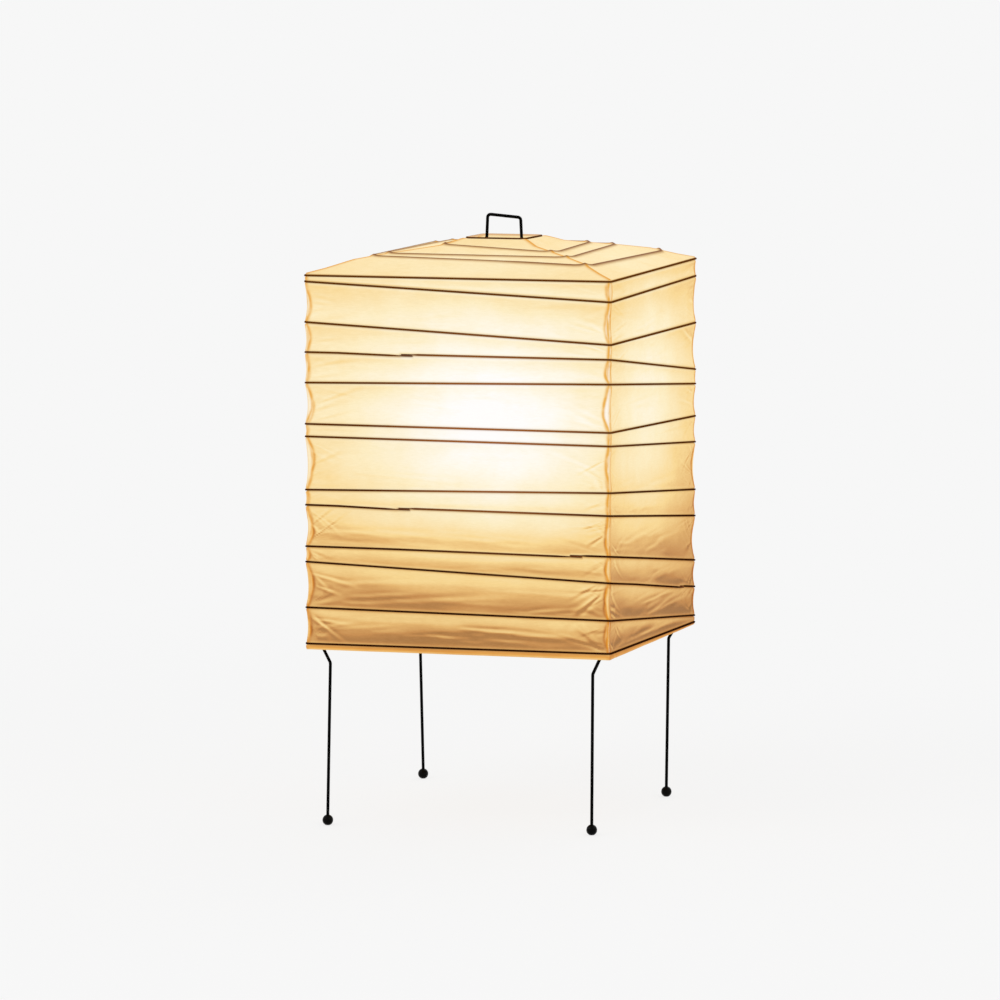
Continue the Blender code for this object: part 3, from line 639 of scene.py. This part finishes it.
class Wall:
    """The columns of one wall of paper, and the ribs and corners that hold it.

    Its rows are tuples over the columns: along, out, height, doubled paper and extra light.
    """

    def __init__(self, side):
        self.side = side
        self.along, self.out, self.distance, self.place = wall_columns()
        self.x, self.y = on_side(side, self.along, self.out)
        self.on_right = self.place > 0
        self.outward = np.sign(self.along)
        self.left = CORNERS[(side - 1) % 4]
        self.right = CORNERS[side]
        self.near_corner = np.exp(-(self.distance - CORNER_GAP) / DRAW_REACH)
        self.courses = [rib_course(side, number, self.along, self.x, self.y) for number in range(BANDS + 1)]
        self.ribs = [plane_height(plane, self.x, self.y) for plane in RIB_PLANES]
        self.tops = [self.ribs[0] + RIB_RADIUS] + self.ribs[1:]

    def lowness(self, band):
        """How low a band reaches: from 0 at the eave to 1 at the hem."""
        return np.clip((WALL_TOP - self.tops[band + 1]) / WALL_SPAN, 0.0, 1.0)

    def strands(self, band, tall):
        """Swing and lean of each strand of the seams at the two ends of a band."""
        found = []
        for strand in range(len(SEAM_STRANDS)):
            of_right = (0, strand, band)
            of_left = (1, strand, band)
            swing = np.where(self.on_right, self.right.swing[of_right], self.left.swing[of_left])
            lean = np.where(self.on_right, self.right.lean[of_right], self.left.lean[of_left])
            found.append((swing * np.minimum(SEAM_SWING, SEAM_SWING_SHARE * tall), lean))
        return found

    def seam(self, height, share, strands):
        """Seam on one row, from 0 to 1, and the eye of painted extra light where a strand stands off the
        corner.
        """
        faint = np.where(self.on_right, 1.0, SEAM_FAINT)
        seam = SEAM_EDGE * np.exp(-(self.distance / SEAM_WIDTH) ** 2)
        farthest = np.zeros_like(self.x)
        for strand, (swing, lean) in enumerate(strands):
            line_seed = SEED + SEAM_SEED + self.side + STRAND_SEED * strand
            strength_seed = SEED + STRENGTH_SEED + self.side + strand
            line = SEAM_REST + swing * np.sin(math.pi * share ** lean)
            line = line + SEAM_WANDER * wander(height, SEAM_WAVE, line_seed)
            line = np.maximum(line, SEAM_LEAST)
            strong = 1 + SEAM_UNEVEN * wander(height, SEAM_WAVE / 2, strength_seed)
            strong = strong * SEAM_STRANDS[strand] * faint
            seam = np.maximum(seam, strong * np.exp(-((self.distance - line) / SEAM_WIDTH) ** 2))
            farthest = np.maximum(farthest, line)
        eye = (farthest > SEAM_EYE_LEAST) * np.clip(1 - self.distance / farthest, 0.0, 1.0)
        return np.minimum(seam, 1.0), SEAM_EYE_LIGHT * np.sqrt(eye)

    def band_rows(self, band):
        """Rows between two ribs: the paper sags in the middle and is drawn in at the corners."""
        upper = self.tops[band]
        lower = self.tops[band + 1]
        tall = upper - lower
        lowness = self.lowness(band)
        seed = SEED + BAND_SEED * band + self.side
        skew = SAG_SKEW_HIGH + (SAG_SKEW_LOW - SAG_SKEW_HIGH) * lowness
        skew = skew * (1 + SAG_UNEVEN / 2 * wander(self.place, SKEW_PITCH, seed))
        sag = (SAG_SHARE_HIGH + (SAG_SHARE_LOW - SAG_SHARE_HIGH) * lowness ** 2) * tall
        sag = np.minimum(sag, SAG_MOST) * (1 + SAG_UNEVEN * wander(self.place, SAG_PITCH, seed + SAG_SEED))
        pull = np.where(self.on_right, self.right.draw_in[band], self.left.draw_in[band])
        pull = pull * np.minimum(DRAW_SHARE * tall, DRAW_MOST)
        strands = self.strands(band, tall)
        heights = band_heights(upper, lower)
        if band == BANDS - 1:
            heights.append(lower)
        rows = []
        for height in heights:
            share = np.clip((upper - height) / tall, 0.0, 1.0)
            belly = np.sin(math.pi * share ** skew)
            nip = np.sin(math.pi * share ** DRAW_SKEW)
            wrap = wrap_at(height, *self.courses[band]) * wrap_at(height, *self.courses[band + 1])
            corner_in = (pull * nip - WRAP_DEPTH * wrap) * self.near_corner / math.sqrt(2)
            inward = (sag * belly - WRAP_DEPTH * wrap) * (1 - self.near_corner)
            seam, eye = self.seam(height, share, strands)
            lift = SEAM_RIDGE * seam * wrap
            rows.append((self.along - self.outward * corner_in, self.out - inward - corner_in + lift,
                         height, seam, eye))
        return rows

    def hem_rows(self):
        """Rows of the hem, tucked in below the last rib and cut unevenly."""
        last = self.ribs[-1]
        bottom = last - HEM_DROP * hem_share(self.x, self.y)
        uneven = 1 + SAG_UNEVEN * wander(self.place, HEM_PITCH, SEED + HEM_SEED + self.side)
        rows = []
        for step in range(1, HEM_ROWS + 1):
            share = step / HEM_ROWS
            tuck = HEM_TUCK * share ** 2 * uneven
            tuck = tuck - WRAP_DEPTH * (1 - math.exp(-(HEM_DROP * share / WRAP_REACH) ** 2))
            streak = math.exp(-((share - HEM_STREAK_AT) / HEM_STREAK_WIDTH) ** 2)
            fold = HEM_FOLD + HEM_STREAK * streak * np.ones_like(self.x)
            rows.append((self.along - self.outward * tuck * self.near_corner, self.out - tuck,
                         last + (bottom - last) * share, fold, np.full_like(self.x, HEM_GLOW - 1)))
        return rows

    def creases(self):
        """Creases of all bands."""
        draw = np.random.default_rng(SEED + CREASE_SEED + self.side)
        found = []
        for band in range(BANDS):
            high = self.tops[band].mean()
            low = self.tops[band + 1].mean()
            found += creases_of(high, low, self.lowness(band).mean(), draw)
        return found

    def relief(self, height):
        """Relief of the creases over rows of these heights, held flat at the corners and ribs."""
        relief = crease_relief(self.creases(), np.broadcast_to(self.place, height.shape), height)
        relief = relief * (1 - np.exp(-((self.distance - CORNER_GAP) / CREASE_CLEAR) ** 2))
        for rib in self.ribs:
            relief = relief * (1 - np.exp(-((height - rib) / CREASE_HOLD) ** 2))
        return relief


def make_wall(side, material):
    """One wall of the shade: paper drawn in between the ribs, creased at the corners, hemmed below."""
    wall = Wall(side)
    rows = [row for band in range(BANDS) for row in wall.band_rows(band)] + wall.hem_rows()
    along, out, height, doubled_and_shaded, extra = (np.array(values) for values in zip(*rows))
    behind = np.zeros_like(height)
    wrapped = np.zeros_like(height)
    for centre, half in wall.courses:
        wrapped = np.maximum(wrapped, np.exp(-((height - centre) / RIB_HOLD) ** 2))
        # Painted shade beside the rib, darker and more orange, through the tint of doubled paper
        doubled_and_shaded = np.maximum(doubled_and_shaded, RIB_WARM_SHADE * np.exp(-((height - centre) / RIB_WARM_SHADE_REACH) ** 2))
        # Painted shade of each rib on the paper beside it, full where the rib's two ends lap
        beside = np.exp(-((height - centre) / RIB_SHADE_REACH) ** 2)
        behind = np.maximum(behind, beside * np.where(half > LAP_STEP / 4, 1.0, RIB_SHADE))
    x, y = on_side(side, along, out + wall.relief(height))
    places = np.stack([x, y, height], axis=-1)
    flat = (*on_side(side, 0.0, 1.0), 0.0)
    shade = fold_shade(places, grid_normals(places), flat)
    past_bend = np.clip((wall.distance - CORNER_ARC) / CORNER_CLEAR, 0.0, 1.0)
    shade = 1 + (shade - 1) * past_bend * (1 - wrapped)
    glow = glow_level(side, along, height) * shade * (1 + extra)
    name = SIDES[side]
    shown = {"glow": glow, "doubled_and_shaded": doubled_and_shaded, "behind": behind}
    make_sheet("shade_wall_" + name, places, shown, material, "paper_wall_" + name)


def roof_section():
    """Section of the front roof paper from the opening out to the eave: (reach, height) of its upper face."""
    found = []
    for _, y, z in sorted(points_of("paper_roof_front").tolist(), key=lambda point: -point[1]):
        if found and -y - found[-1][0] < ROOF_ROW_APART:
            if z > found[-1][1]:
                found[-1] = (-y, z)
        else:
            found.append((-y, z))
    return np.array(found).T


ROOF_REACHES, ROOF_HEIGHTS = roof_section()
ROOF_TOP = ROOF_HEIGHTS[0]
ROOF_RISES = (ROOF_HEIGHTS - ROOF_HEIGHTS[-1]) / (ROOF_TOP - ROOF_HEIGHTS[-1])
EDGE_LIFT = ROOF_HEIGHTS[-1] - plane_height(RIB_PLANES[0], 0.0, -ROOF_REACHES[-1])


def roof_height(x, y):
    """Height of the roof paper, which falls from the level rim to the tilted eave."""
    reach = np.maximum(np.abs(x), np.abs(y))
    outward = ROOF_REACHES[-1] / reach
    edge = plane_height(RIB_PLANES[0], x * outward, y * outward) + EDGE_LIFT
    return edge + np.interp(reach, ROOF_REACHES, ROOF_RISES) * (ROOF_TOP - edge)


def loop_distance(node, x, y):
    """Plan distance from points to the middle line of a roof rib."""
    rings = rings_of(node)[:, :2]
    rings = rings[np.argsort(np.arctan2(rings[:, 1], rings[:, 0]))]
    least = np.full(x.shape, np.inf)
    for (ax, ay), (bx, by) in zip(rings, np.roll(rings, -1, axis=0)):
        run = ((x - ax) * (bx - ax) + (y - ay) * (by - ay)) / ((bx - ax) ** 2 + (by - ay) ** 2)
        run = np.clip(run, 0.0, 1.0)
        least = np.minimum(least, np.hypot(x - ax - run * (bx - ax), y - ay - run * (by - ay)))
    return least


def dimples_of(along, out, draw):
    """Shallow hollows of the slack roof paper, from 0 to about 1."""
    total = np.zeros_like(along)
    for _ in range(DIMPLES):
        start = (draw.uniform(*DIMPLE_ALONG), draw.uniform(*DIMPLE_OUT))
        turn = draw.uniform(0, math.pi)
        run = (along - start[0]) * math.cos(turn) + (out - start[1]) * math.sin(turn)
        across = -(along - start[0]) * math.sin(turn) + (out - start[1]) * math.cos(turn)
        share = draw.uniform(*DIMPLE_SHARE)
        total += share * np.exp(-(run / DIMPLE_LENGTH) ** 2 - (across / DIMPLE_WIDTH) ** 2)
    return total


def rounded_opening(along, out, half):
    """Draws the corners of the roof opening in to the rim's rounded ones, less and less further out."""
    straight = ROOF_REACHES[0] - RIM_CORNER_RADIUS
    share = np.abs(along) / half * ROOF_REACHES[0]
    angle = math.pi / 4 * np.clip((share - straight) / RIM_CORNER_RADIUS, 0.0, 1.0)
    fade = np.exp(-((out - ROOF_REACHES[0]) / OPENING_REACH) ** 2)
    in_bend = share > straight
    shift = np.where(in_bend, straight + RIM_CORNER_RADIUS * np.sin(angle) - share, 0.0)
    draw = np.where(in_bend, RIM_CORNER_RADIUS * (np.cos(angle) - 1), 0.0)
    return along + np.sign(along) * shift * fade, out + draw * fade


def make_roof(side, material):
    """One slope of the roof, between two hips, raised where a rib lies under it."""
    inner, outer = ROOF_REACHES[0], ROOF_REACHES[-1]
    reaches = np.linspace(inner, outer, round((outer - inner) / ROOF_ROW_STEP))
    spread = np.linspace(-1, 1, ROOF_COLUMNS)
    spread = np.sign(spread) * (1 - (1 - np.abs(spread)) ** ROOF_CROWDING)
    half = reaches - HIP_GAP / math.sqrt(2)
    along = half[:, None] * spread[None, :]
    out = np.broadcast_to(reaches[:, None], along.shape)
    from_hip = (half[:, None] - np.abs(along)) / math.sqrt(2)
    x, y = on_side(side, *rounded_opening(along, out, half[:, None]))
    hip = np.exp(-(from_hip / HIP_WIDTH) ** 2)
    away = np.min([loop_distance(node, x, y) for node in ROOF_RIBS], axis=0)
    dimple = dimples_of(along, out, np.random.default_rng(SEED + DIMPLE_SEED + side))
    slack = np.clip(from_hip / HIP_TAUT, 0.0, 1.0) * (1 - np.exp(-(away / RIB_TAUT) ** 2))
    height = roof_height(x, y) - DIMPLE_DEPTH * dimple * slack
    over_rib = np.exp(-(away / ROOF_RIB_WIDTH) ** 2)
    height = height + HIP_RIDGE * hip + ROOF_RIB_RIDGE * over_rib
    height = height - RIM_SINK * np.exp(-((out - inner) / RIM_SINK_REACH) ** 2)
    middle = np.exp(-(along / ROOF_GLOW_REACH[0]) ** 2 - ((out - ROOF_GLOW_AT) / ROOF_GLOW_REACH[1]) ** 2)
    glow = (ROOF_GLOW + ROOF_GLOW_MIDDLE * middle) * (1 - DIMPLE_SHADE * dimple)
    # Painted shadows of the roof ribs, seen as soft dark lines on the paper
    behind = ROOF_RIB_SHADOW * np.exp(-(away / ROOF_RIB_SHADOW_BLUR) ** 2)
    # Doubled paper along the hips, and painted shade over the roof ribs
    doubled_and_shaded = np.maximum(HIP_FOLD * hip, ROOF_RIB_WARM_SHADE * over_rib)
    shown = {"glow": glow, "doubled_and_shaded": doubled_and_shaded, "behind": behind}
    name = SIDES[side]
    make_sheet("shade_roof_" + name, np.stack([x, y, height], axis=-1), shown, material,
               "paper_roof_" + name)


class Nodes:
    """A node material in the making."""

    def __init__(self, name):
        self.material = bpy.data.materials.new(name)
        self.material.use_nodes = True
        self.tree = self.material.node_tree
        self.shader = self.tree.nodes["Principled BSDF"]
        coordinates = self.add("ShaderNodeTexCoord")
        self.place = coordinates.outputs["Object"]
        self.facing = coordinates.outputs["Normal"]

    def add(self, kind, **settings):
        node = self.tree.nodes.new(kind)
        for key, value in settings.items():
            setattr(node, key, value)
        return node

    def link(self, source, target):
        self.tree.links.new(source, target)

    def feed(self, source, socket):
        """Links a source to a socket of the shader."""
        self.link(source, self.shader.inputs[socket])

    def fix(self, socket, value):
        """Sets a socket of the shader to one value all over."""
        self.shader.inputs[socket].default_value = value

    def glow(self, source, strength=1.0):
        """Gives the surface light of its own."""
        self.feed(source, "Emission Color")
        self.fix("Emission Strength", strength)

    def stretched(self, scale):
        node = self.add("ShaderNodeMapping")
        node.inputs["Scale"].default_value = scale
        self.link(self.place, node.inputs["Vector"])
        return node.outputs["Vector"]

    def noise(self, kind):
        node = self.add("ShaderNodeTexNoise")
        node.inputs["Scale"].default_value = kind.scale
        node.inputs["Detail"].default_value = kind.detail
        node.inputs["Roughness"].default_value = kind.roughness
        self.link(self.stretched(kind.stretch) if kind.stretch else self.place, node.inputs["Vector"])
        return node.outputs["Fac"]

    def ramp(self, source, stops):
        node = self.add("ShaderNodeValToRGB")
        ramp = node.color_ramp
        while len(ramp.elements) < len(stops):
            ramp.elements.new(0.5)
        for element, (position, colour) in zip(ramp.elements, stops):
            element.position = position
            element.color = (*colour, 1.0)
        self.link(source, node.inputs["Fac"])
        return node.outputs["Color"]

    def between(self, source, from_range, to_range, interpolation="SMOOTHSTEP"):
        """Takes one range to another, smoothly unless told otherwise."""
        node = self.add("ShaderNodeMapRange", interpolation_type=interpolation)
        for name, value in zip(("From Min", "From Max", "To Min", "To Max"), (*from_range, *to_range)):
            node.inputs[name].default_value = value
        self.link(source, node.inputs["Value"])
        return node.outputs["Result"]

    def spread(self, source, to_range):
        """Takes the middle of a noise's range to another range."""
        return self.between(source, NOISE_RANGE, to_range, "LINEAR")

    def height(self):
        node = self.add("ShaderNodeSeparateXYZ")
        self.link(self.place, node.inputs["Vector"])
        return node.outputs["Z"]

    def distance(self, point):
        """Distance from a fixed point."""
        node = self.add("ShaderNodeVectorMath", operation="DISTANCE")
        self.link(self.place, node.inputs[0])
        node.inputs[1].default_value = point
        return node.outputs["Value"]

    def math(self, operation, first, second):
        node = self.add("ShaderNodeMath", operation=operation)
        for value, socket in zip((first, second), node.inputs):
            if isinstance(value, (int, float)):
                socket.default_value = value
            else:
                self.link(value, socket)
        return node.outputs["Value"]

    def mix(self, factor, first, second, blend="MIX"):
        node = self.add("ShaderNodeMix", data_type="RGBA", blend_type=blend)
        for value, socket in ((factor, node.inputs[0]), (first, node.inputs[6]), (second, node.inputs[7])):
            if isinstance(value, (int, float)):
                socket.default_value = value
            elif isinstance(value, tuple):
                socket.default_value = (*value, 1.0)
            else:
                self.link(value, socket)
        return node.outputs[2]

    def tinted(self, share, colour, tint):
        """A colour, multiplied by a tint where the share is one."""
        return self.mix(share, colour, self.mix(1.0, colour, tint, "MULTIPLY"))

    def bump(self, source, strength, distance):
        node = self.add("ShaderNodeBump")
        node.inputs["Strength"].default_value = strength
        node.inputs["Distance"].default_value = distance
        self.link(source, node.inputs["Height"])
        self.feed(node.outputs["Normal"], "Normal")

    def attribute(self, name):
        return self.add("ShaderNodeAttribute", attribute_name=name).outputs["Fac"]


def paper_material():
    """Handmade paper lit from inside: long pale fibres, clouds of thicker pulp, more orange where it is
    doubled, with painted shade and painted shadows of the ribs.
    """
    nodes = Nodes("paper")
    clouds = nodes.noise(PAPER_CLOUDS)
    fibres = nodes.noise(PAPER_FIBRES)
    grain = nodes.noise(PAPER_GRAIN)
    uneven = nodes.math("MULTIPLY", nodes.spread(clouds, PAPER_CLOUDY), nodes.spread(fibres, PAPER_FIBROUS))
    level = nodes.math("MULTIPLY", nodes.attribute("glow"), uneven)
    doubled_and_shaded = nodes.attribute("doubled_and_shaded")
    behind = nodes.attribute("behind")
    # Light through the paper, darker where it is doubled and where shade is painted beside the ribs
    light = nodes.tinted(doubled_and_shaded, nodes.ramp(level, PAPER_LIGHT), DOUBLED_AND_SHADED_TINT)
    # Painted rib shadows darken the light through the paper
    nodes.glow(nodes.tinted(behind, light, RIB_SHADOW_TINT))
    # Base colour, darker where the paper is doubled and where shade is painted beside the ribs
    base = nodes.tinted(doubled_and_shaded, nodes.ramp(fibres, PAPER_BASE), DOUBLED_AND_SHADED_TINT)
    # Painted rib shadows darken the base colour too
    nodes.feed(nodes.tinted(behind, base, RIB_SHADOW_TINT), "Base Color")
    nodes.feed(nodes.spread(grain, PAPER_ROUGH), "Roughness")
    nodes.fix("Specular IOR Level", PAPER_SPECULAR)
    rough = nodes.math("ADD", fibres, nodes.math("MULTIPLY", grain, PAPER_GRAIN_SHARE))
    nodes.bump(rough, *PAPER_BUMP)
    return nodes.material


def bamboo(name, stain):
    """Split bamboo, stained dark, with its grain along it: a material still without light of its own."""
    nodes = Nodes(name)
    grain = nodes.noise(BAMBOO_GRAIN)
    nodes.feed(nodes.ramp(grain, stain), "Base Color")
    nodes.feed(nodes.spread(grain, BAMBOO_ROUGH), "Roughness")
    nodes.fix("Specular IOR Level", 0.0)
    nodes.bump(grain, *BAMBOO_BUMP)
    return nodes


def rib_material(name, stain, glow_stops, laps=()):
    """A rib with a painted glow for the light of the paper it lies on, dimmer as painted shade where its two
    ends lap.
    """
    nodes = bamboo(name, stain)
    # Painted glow of the rib, rising from the hem to the eave and brighter at the hot spot
    rise = nodes.between(nodes.height(), (WALL_BOTTOM, WALL_TOP), (0.0, 1.0))
    hot_spot = (GLOWS[0].along, -RIB_HALF, GLOWS[0].height)
    near = nodes.between(nodes.distance(hot_spot), RIB_HOT_SPOT_REACH, (1.0, 0.0))
    rib_glow = nodes.mix(near, nodes.ramp(rise, glow_stops), RIB_HOT_SPOT_GLOW)
    # Painted shade: dimmer glow where the two ends of a rib lap
    for middle in laps:
        here = nodes.between(nodes.distance(middle), RIB_LAP_SHADE_REACH, (1.0, 0.0))
        rib_glow = nodes.mix(here, rib_glow, RIB_LAP_SHADE)
    nodes.glow(rib_glow)
    return nodes.material


def rim_material():
    """The rim: dark outside, and lit from below on the side that faces the opening."""
    nodes = bamboo("rim", RIM_STAIN)
    plan = nodes.add("ShaderNodeVectorMath", operation="MULTIPLY")
    nodes.link(nodes.place, plan.inputs[0])
    plan.inputs[1].default_value = (1.0, 1.0, 0.0)
    outward = nodes.add("ShaderNodeVectorMath", operation="DOT_PRODUCT")
    nodes.link(nodes.facing, outward.inputs[0])
    nodes.link(plan.outputs["Vector"], outward.inputs[1])
    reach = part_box("top_rim")[1].x
    facing = [share * reach for share in RIM_FACING]
    lit = nodes.between(outward.outputs["Value"], facing, (1.0, 0.0))
    nodes.glow(nodes.mix(lit, RIM_SHADE, RIM_LIT))
    return nodes.material


def painted_material(name, finish):
    """Paint on bent wire or turned balls: a thin uneven coat, rubbed here and there."""
    nodes = Nodes(name)
    patches = nodes.noise(PAINT_PATCHES)
    stops = tuple(zip(PAINT_STOPS, (finish.dark, finish.pale)))
    nodes.feed(nodes.ramp(patches, stops), "Base Color")
    nodes.feed(nodes.spread(patches, finish.rough), "Roughness")
    nodes.fix("Specular IOR Level", finish.specular)
    nodes.bump(nodes.noise(PAINT_GRAIN), *PAINT_BUMP)
    return nodes.material


def metal_material(name, finish):
    """Turned and brushed metal."""
    nodes = Nodes(name)
    rings = nodes.noise(METAL_RINGS)
    stops = tuple(zip(METAL_STOPS, (finish.dark, finish.pale)))
    nodes.feed(nodes.ramp(rings, stops), "Base Color")
    nodes.feed(nodes.spread(rings, finish.rough), "Roughness")
    nodes.fix("Metallic", 1.0)
    nodes.bump(rings, *METAL_BUMP)
    return nodes.material


def bulb_material():
    """Opal glass, lit: brightest round its middle."""
    nodes = Nodes("opal_glass")
    haze = nodes.noise(GLASS_HAZE)
    low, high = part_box("bulb_glass")
    rise = nodes.between(nodes.height(), (low.z, high.z), (0.0, 1.0), "LINEAR")
    nodes.feed(nodes.ramp(haze, GLASS_BASE), "Base Color")
    nodes.feed(nodes.spread(haze, GLASS_ROUGH), "Roughness")
    nodes.glow(nodes.ramp(rise, GLASS_LIGHT), GLASS_STRENGTH)
    return nodes.material


def dress(material, *names):
    """Gives CAD nodes a material."""
    for name in names:
        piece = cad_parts[name]
        if not piece.material_slots:
            piece.data.materials.append(material)
        for slot in piece.material_slots:
            slot.material = material


def dress_nodes():
    """Gives each CAD node that shows its material."""
    legs = [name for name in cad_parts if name.startswith("leg_")]
    feet = [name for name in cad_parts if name.startswith("foot_")]
    dress(rib_material("rib", RIB_STAIN, RIB_PAINTED_GLOW, lap_middles()), *WALL_RIBS)
    dress(rib_material("roof_rib", ROOF_RIB_STAIN, ROOF_RIB_PAINTED_GLOW), *ROOF_RIBS)
    dress(rim_material(), "top_rim")
    dress(painted_material("wire", WIRE_PAINT), *legs, "stretcher_wire")
    dress(painted_material("ball", BALL_PAINT), *feet)
    dress(painted_material("holder", HOLDER_PLASTIC), "cord_bushing", "holder_cap", "holder_shell")
    dress(painted_material("ceramic", CERAMIC), "holder_insulator", "bulb_insulator")
    dress(metal_material("steel", STEEL), "hub_plate", "riser_tube", "nut_lower", "nut_upper")
    dress(metal_material("brass", BRASS), "holder_screw_shell", "holder_contact", "bulb_contact", "bulb_cap")
    dress(bulb_material(), "bulb_glass")


def grey(level):
    return level, level, level, 1.0


def seen_factor(tree):
    """One where a ray comes from the camera, a mirror or clear glass."""
    path = tree.nodes.new("ShaderNodeLightPath")
    total = path.outputs["Is Camera Ray"]
    for name in ("Is Glossy Ray", "Is Transmission Ray"):
        larger = tree.nodes.new("ShaderNodeMath")
        larger.operation = "MAXIMUM"
        tree.links.new(total, larger.inputs[0])
        tree.links.new(path.outputs[name], larger.inputs[1])
        total = larger.outputs["Value"]
    return total


def mixed(tree, factor, first, second):
    """A mix of two shaders' outputs."""
    node = tree.nodes.new("ShaderNodeMixShader")
    for source, socket in zip((factor, first, second), node.inputs):
        tree.links.new(source, socket)
    return node.outputs[0]


def floor_material():
    """Pale, with a soft shadow that fades out into the even background."""
    material = bpy.data.materials.new("floor")
    material.use_nodes = True
    tree = material.node_tree
    tree.nodes.clear()
    place = tree.nodes.new("ShaderNodeTexCoord")
    reach = tree.nodes.new("ShaderNodeVectorMath")
    reach.operation = "LENGTH"
    tree.links.new(place.outputs["Object"], reach.inputs[0])
    fade = tree.nodes.new("ShaderNodeMapRange")
    fade.interpolation_type = "SMOOTHSTEP"
    tree.links.new(reach.outputs["Value"], fade.inputs["Value"])
    fade.inputs["From Min"].default_value = SHADOW_FADE[0]
    fade.inputs["From Max"].default_value = SHADOW_FADE[1]
    fade.inputs["To Min"].default_value = SHADOW_SHARE
    fade.inputs["To Max"].default_value = 0.0
    plain = tree.nodes.new("ShaderNodeEmission")
    plain.inputs["Color"].default_value = grey(BACKGROUND)
    lit = tree.nodes.new("ShaderNodeBsdfDiffuse")
    lit.inputs["Color"].default_value = grey(FLOOR_COLOUR)
    shown = mixed(tree, fade.outputs["Result"], plain.outputs[0], lit.outputs[0])
    both = mixed(tree, seen_factor(tree), lit.outputs[0], shown)
    output = tree.nodes.new("ShaderNodeOutputMaterial")
    tree.links.new(both, output.inputs["Surface"])
    return material


def make_floor():
    """A pale round floor that runs into the background."""
    turns = [2 * math.pi * step / FLOOR_TURNS for step in range(FLOOR_TURNS)]
    ring = [(FLOOR_RADIUS * math.cos(turn), FLOOR_RADIUS * math.sin(turn), -FLOOR_DROP) for turn in turns]
    mesh = bpy.data.meshes.new("floor")
    mesh.from_pydata(ring, [], [list(range(FLOOR_TURNS))])
    mesh.materials.append(floor_material())
    floor = bpy.data.objects.new("floor", mesh)
    bpy.context.scene.collection.objects.link(floor)


def make_world():
    """An even pale surround: what the camera sees of it is the background."""
    world = bpy.data.worlds.new("studio")
    bpy.context.scene.world = world
    world.use_nodes = True
    tree = world.node_tree
    tree.nodes.clear()
    seen = tree.nodes.new("ShaderNodeBackground")
    seen.inputs["Color"].default_value = grey(BACKGROUND)
    light = tree.nodes.new("ShaderNodeBackground")
    light.inputs["Color"].default_value = grey(1.0)
    light.inputs["Strength"].default_value = WORLD_LEVEL
    output = tree.nodes.new("ShaderNodeOutputWorld")
    both = mixed(tree, seen_factor(tree), light.outputs[0], seen.outputs[0])
    tree.links.new(both, output.inputs["Surface"])


def make_light(light):
    """A large soft lamp that points at the middle of the part."""
    data = bpy.data.lights.new(light.name, "AREA")
    data.size = LIGHT_SIZE
    data.energy = light.power
    lamp = bpy.data.objects.new(light.name, data)
    lamp.location = light.place
    lamp.rotation_mode = "QUATERNION"
    lamp.rotation_quaternion = (Vector(LIGHT_TARGET) - Vector(light.place)).to_track_quat("-Z", "Y")
    bpy.context.scene.collection.objects.link(lamp)


def make_camera():
    """The photograph's camera."""
    data = bpy.data.cameras.new("camera")
    data.sensor_width = SENSOR_WIDTH
    data.lens = CAMERA_LENS
    data.clip_end = CAMERA_FAR
    camera = bpy.data.objects.new("camera", data)
    camera.location = CAMERA_PLACE
    camera.rotation_euler = (math.pi / 2 - CAMERA_PITCH, 0.0, CAMERA_YAW)
    bpy.context.scene.collection.objects.link(camera)
    bpy.context.scene.camera = camera


def main():
    make_camera()
    paper = paper_material()
    for side in range(4):
        make_wall(side, paper)
        make_roof(side, paper)
    dress_nodes()
    make_floor()
    make_world()
    for light in LIGHTS:
        make_light(light)
    bpy.context.scene.view_settings.view_transform = "Standard"


main()
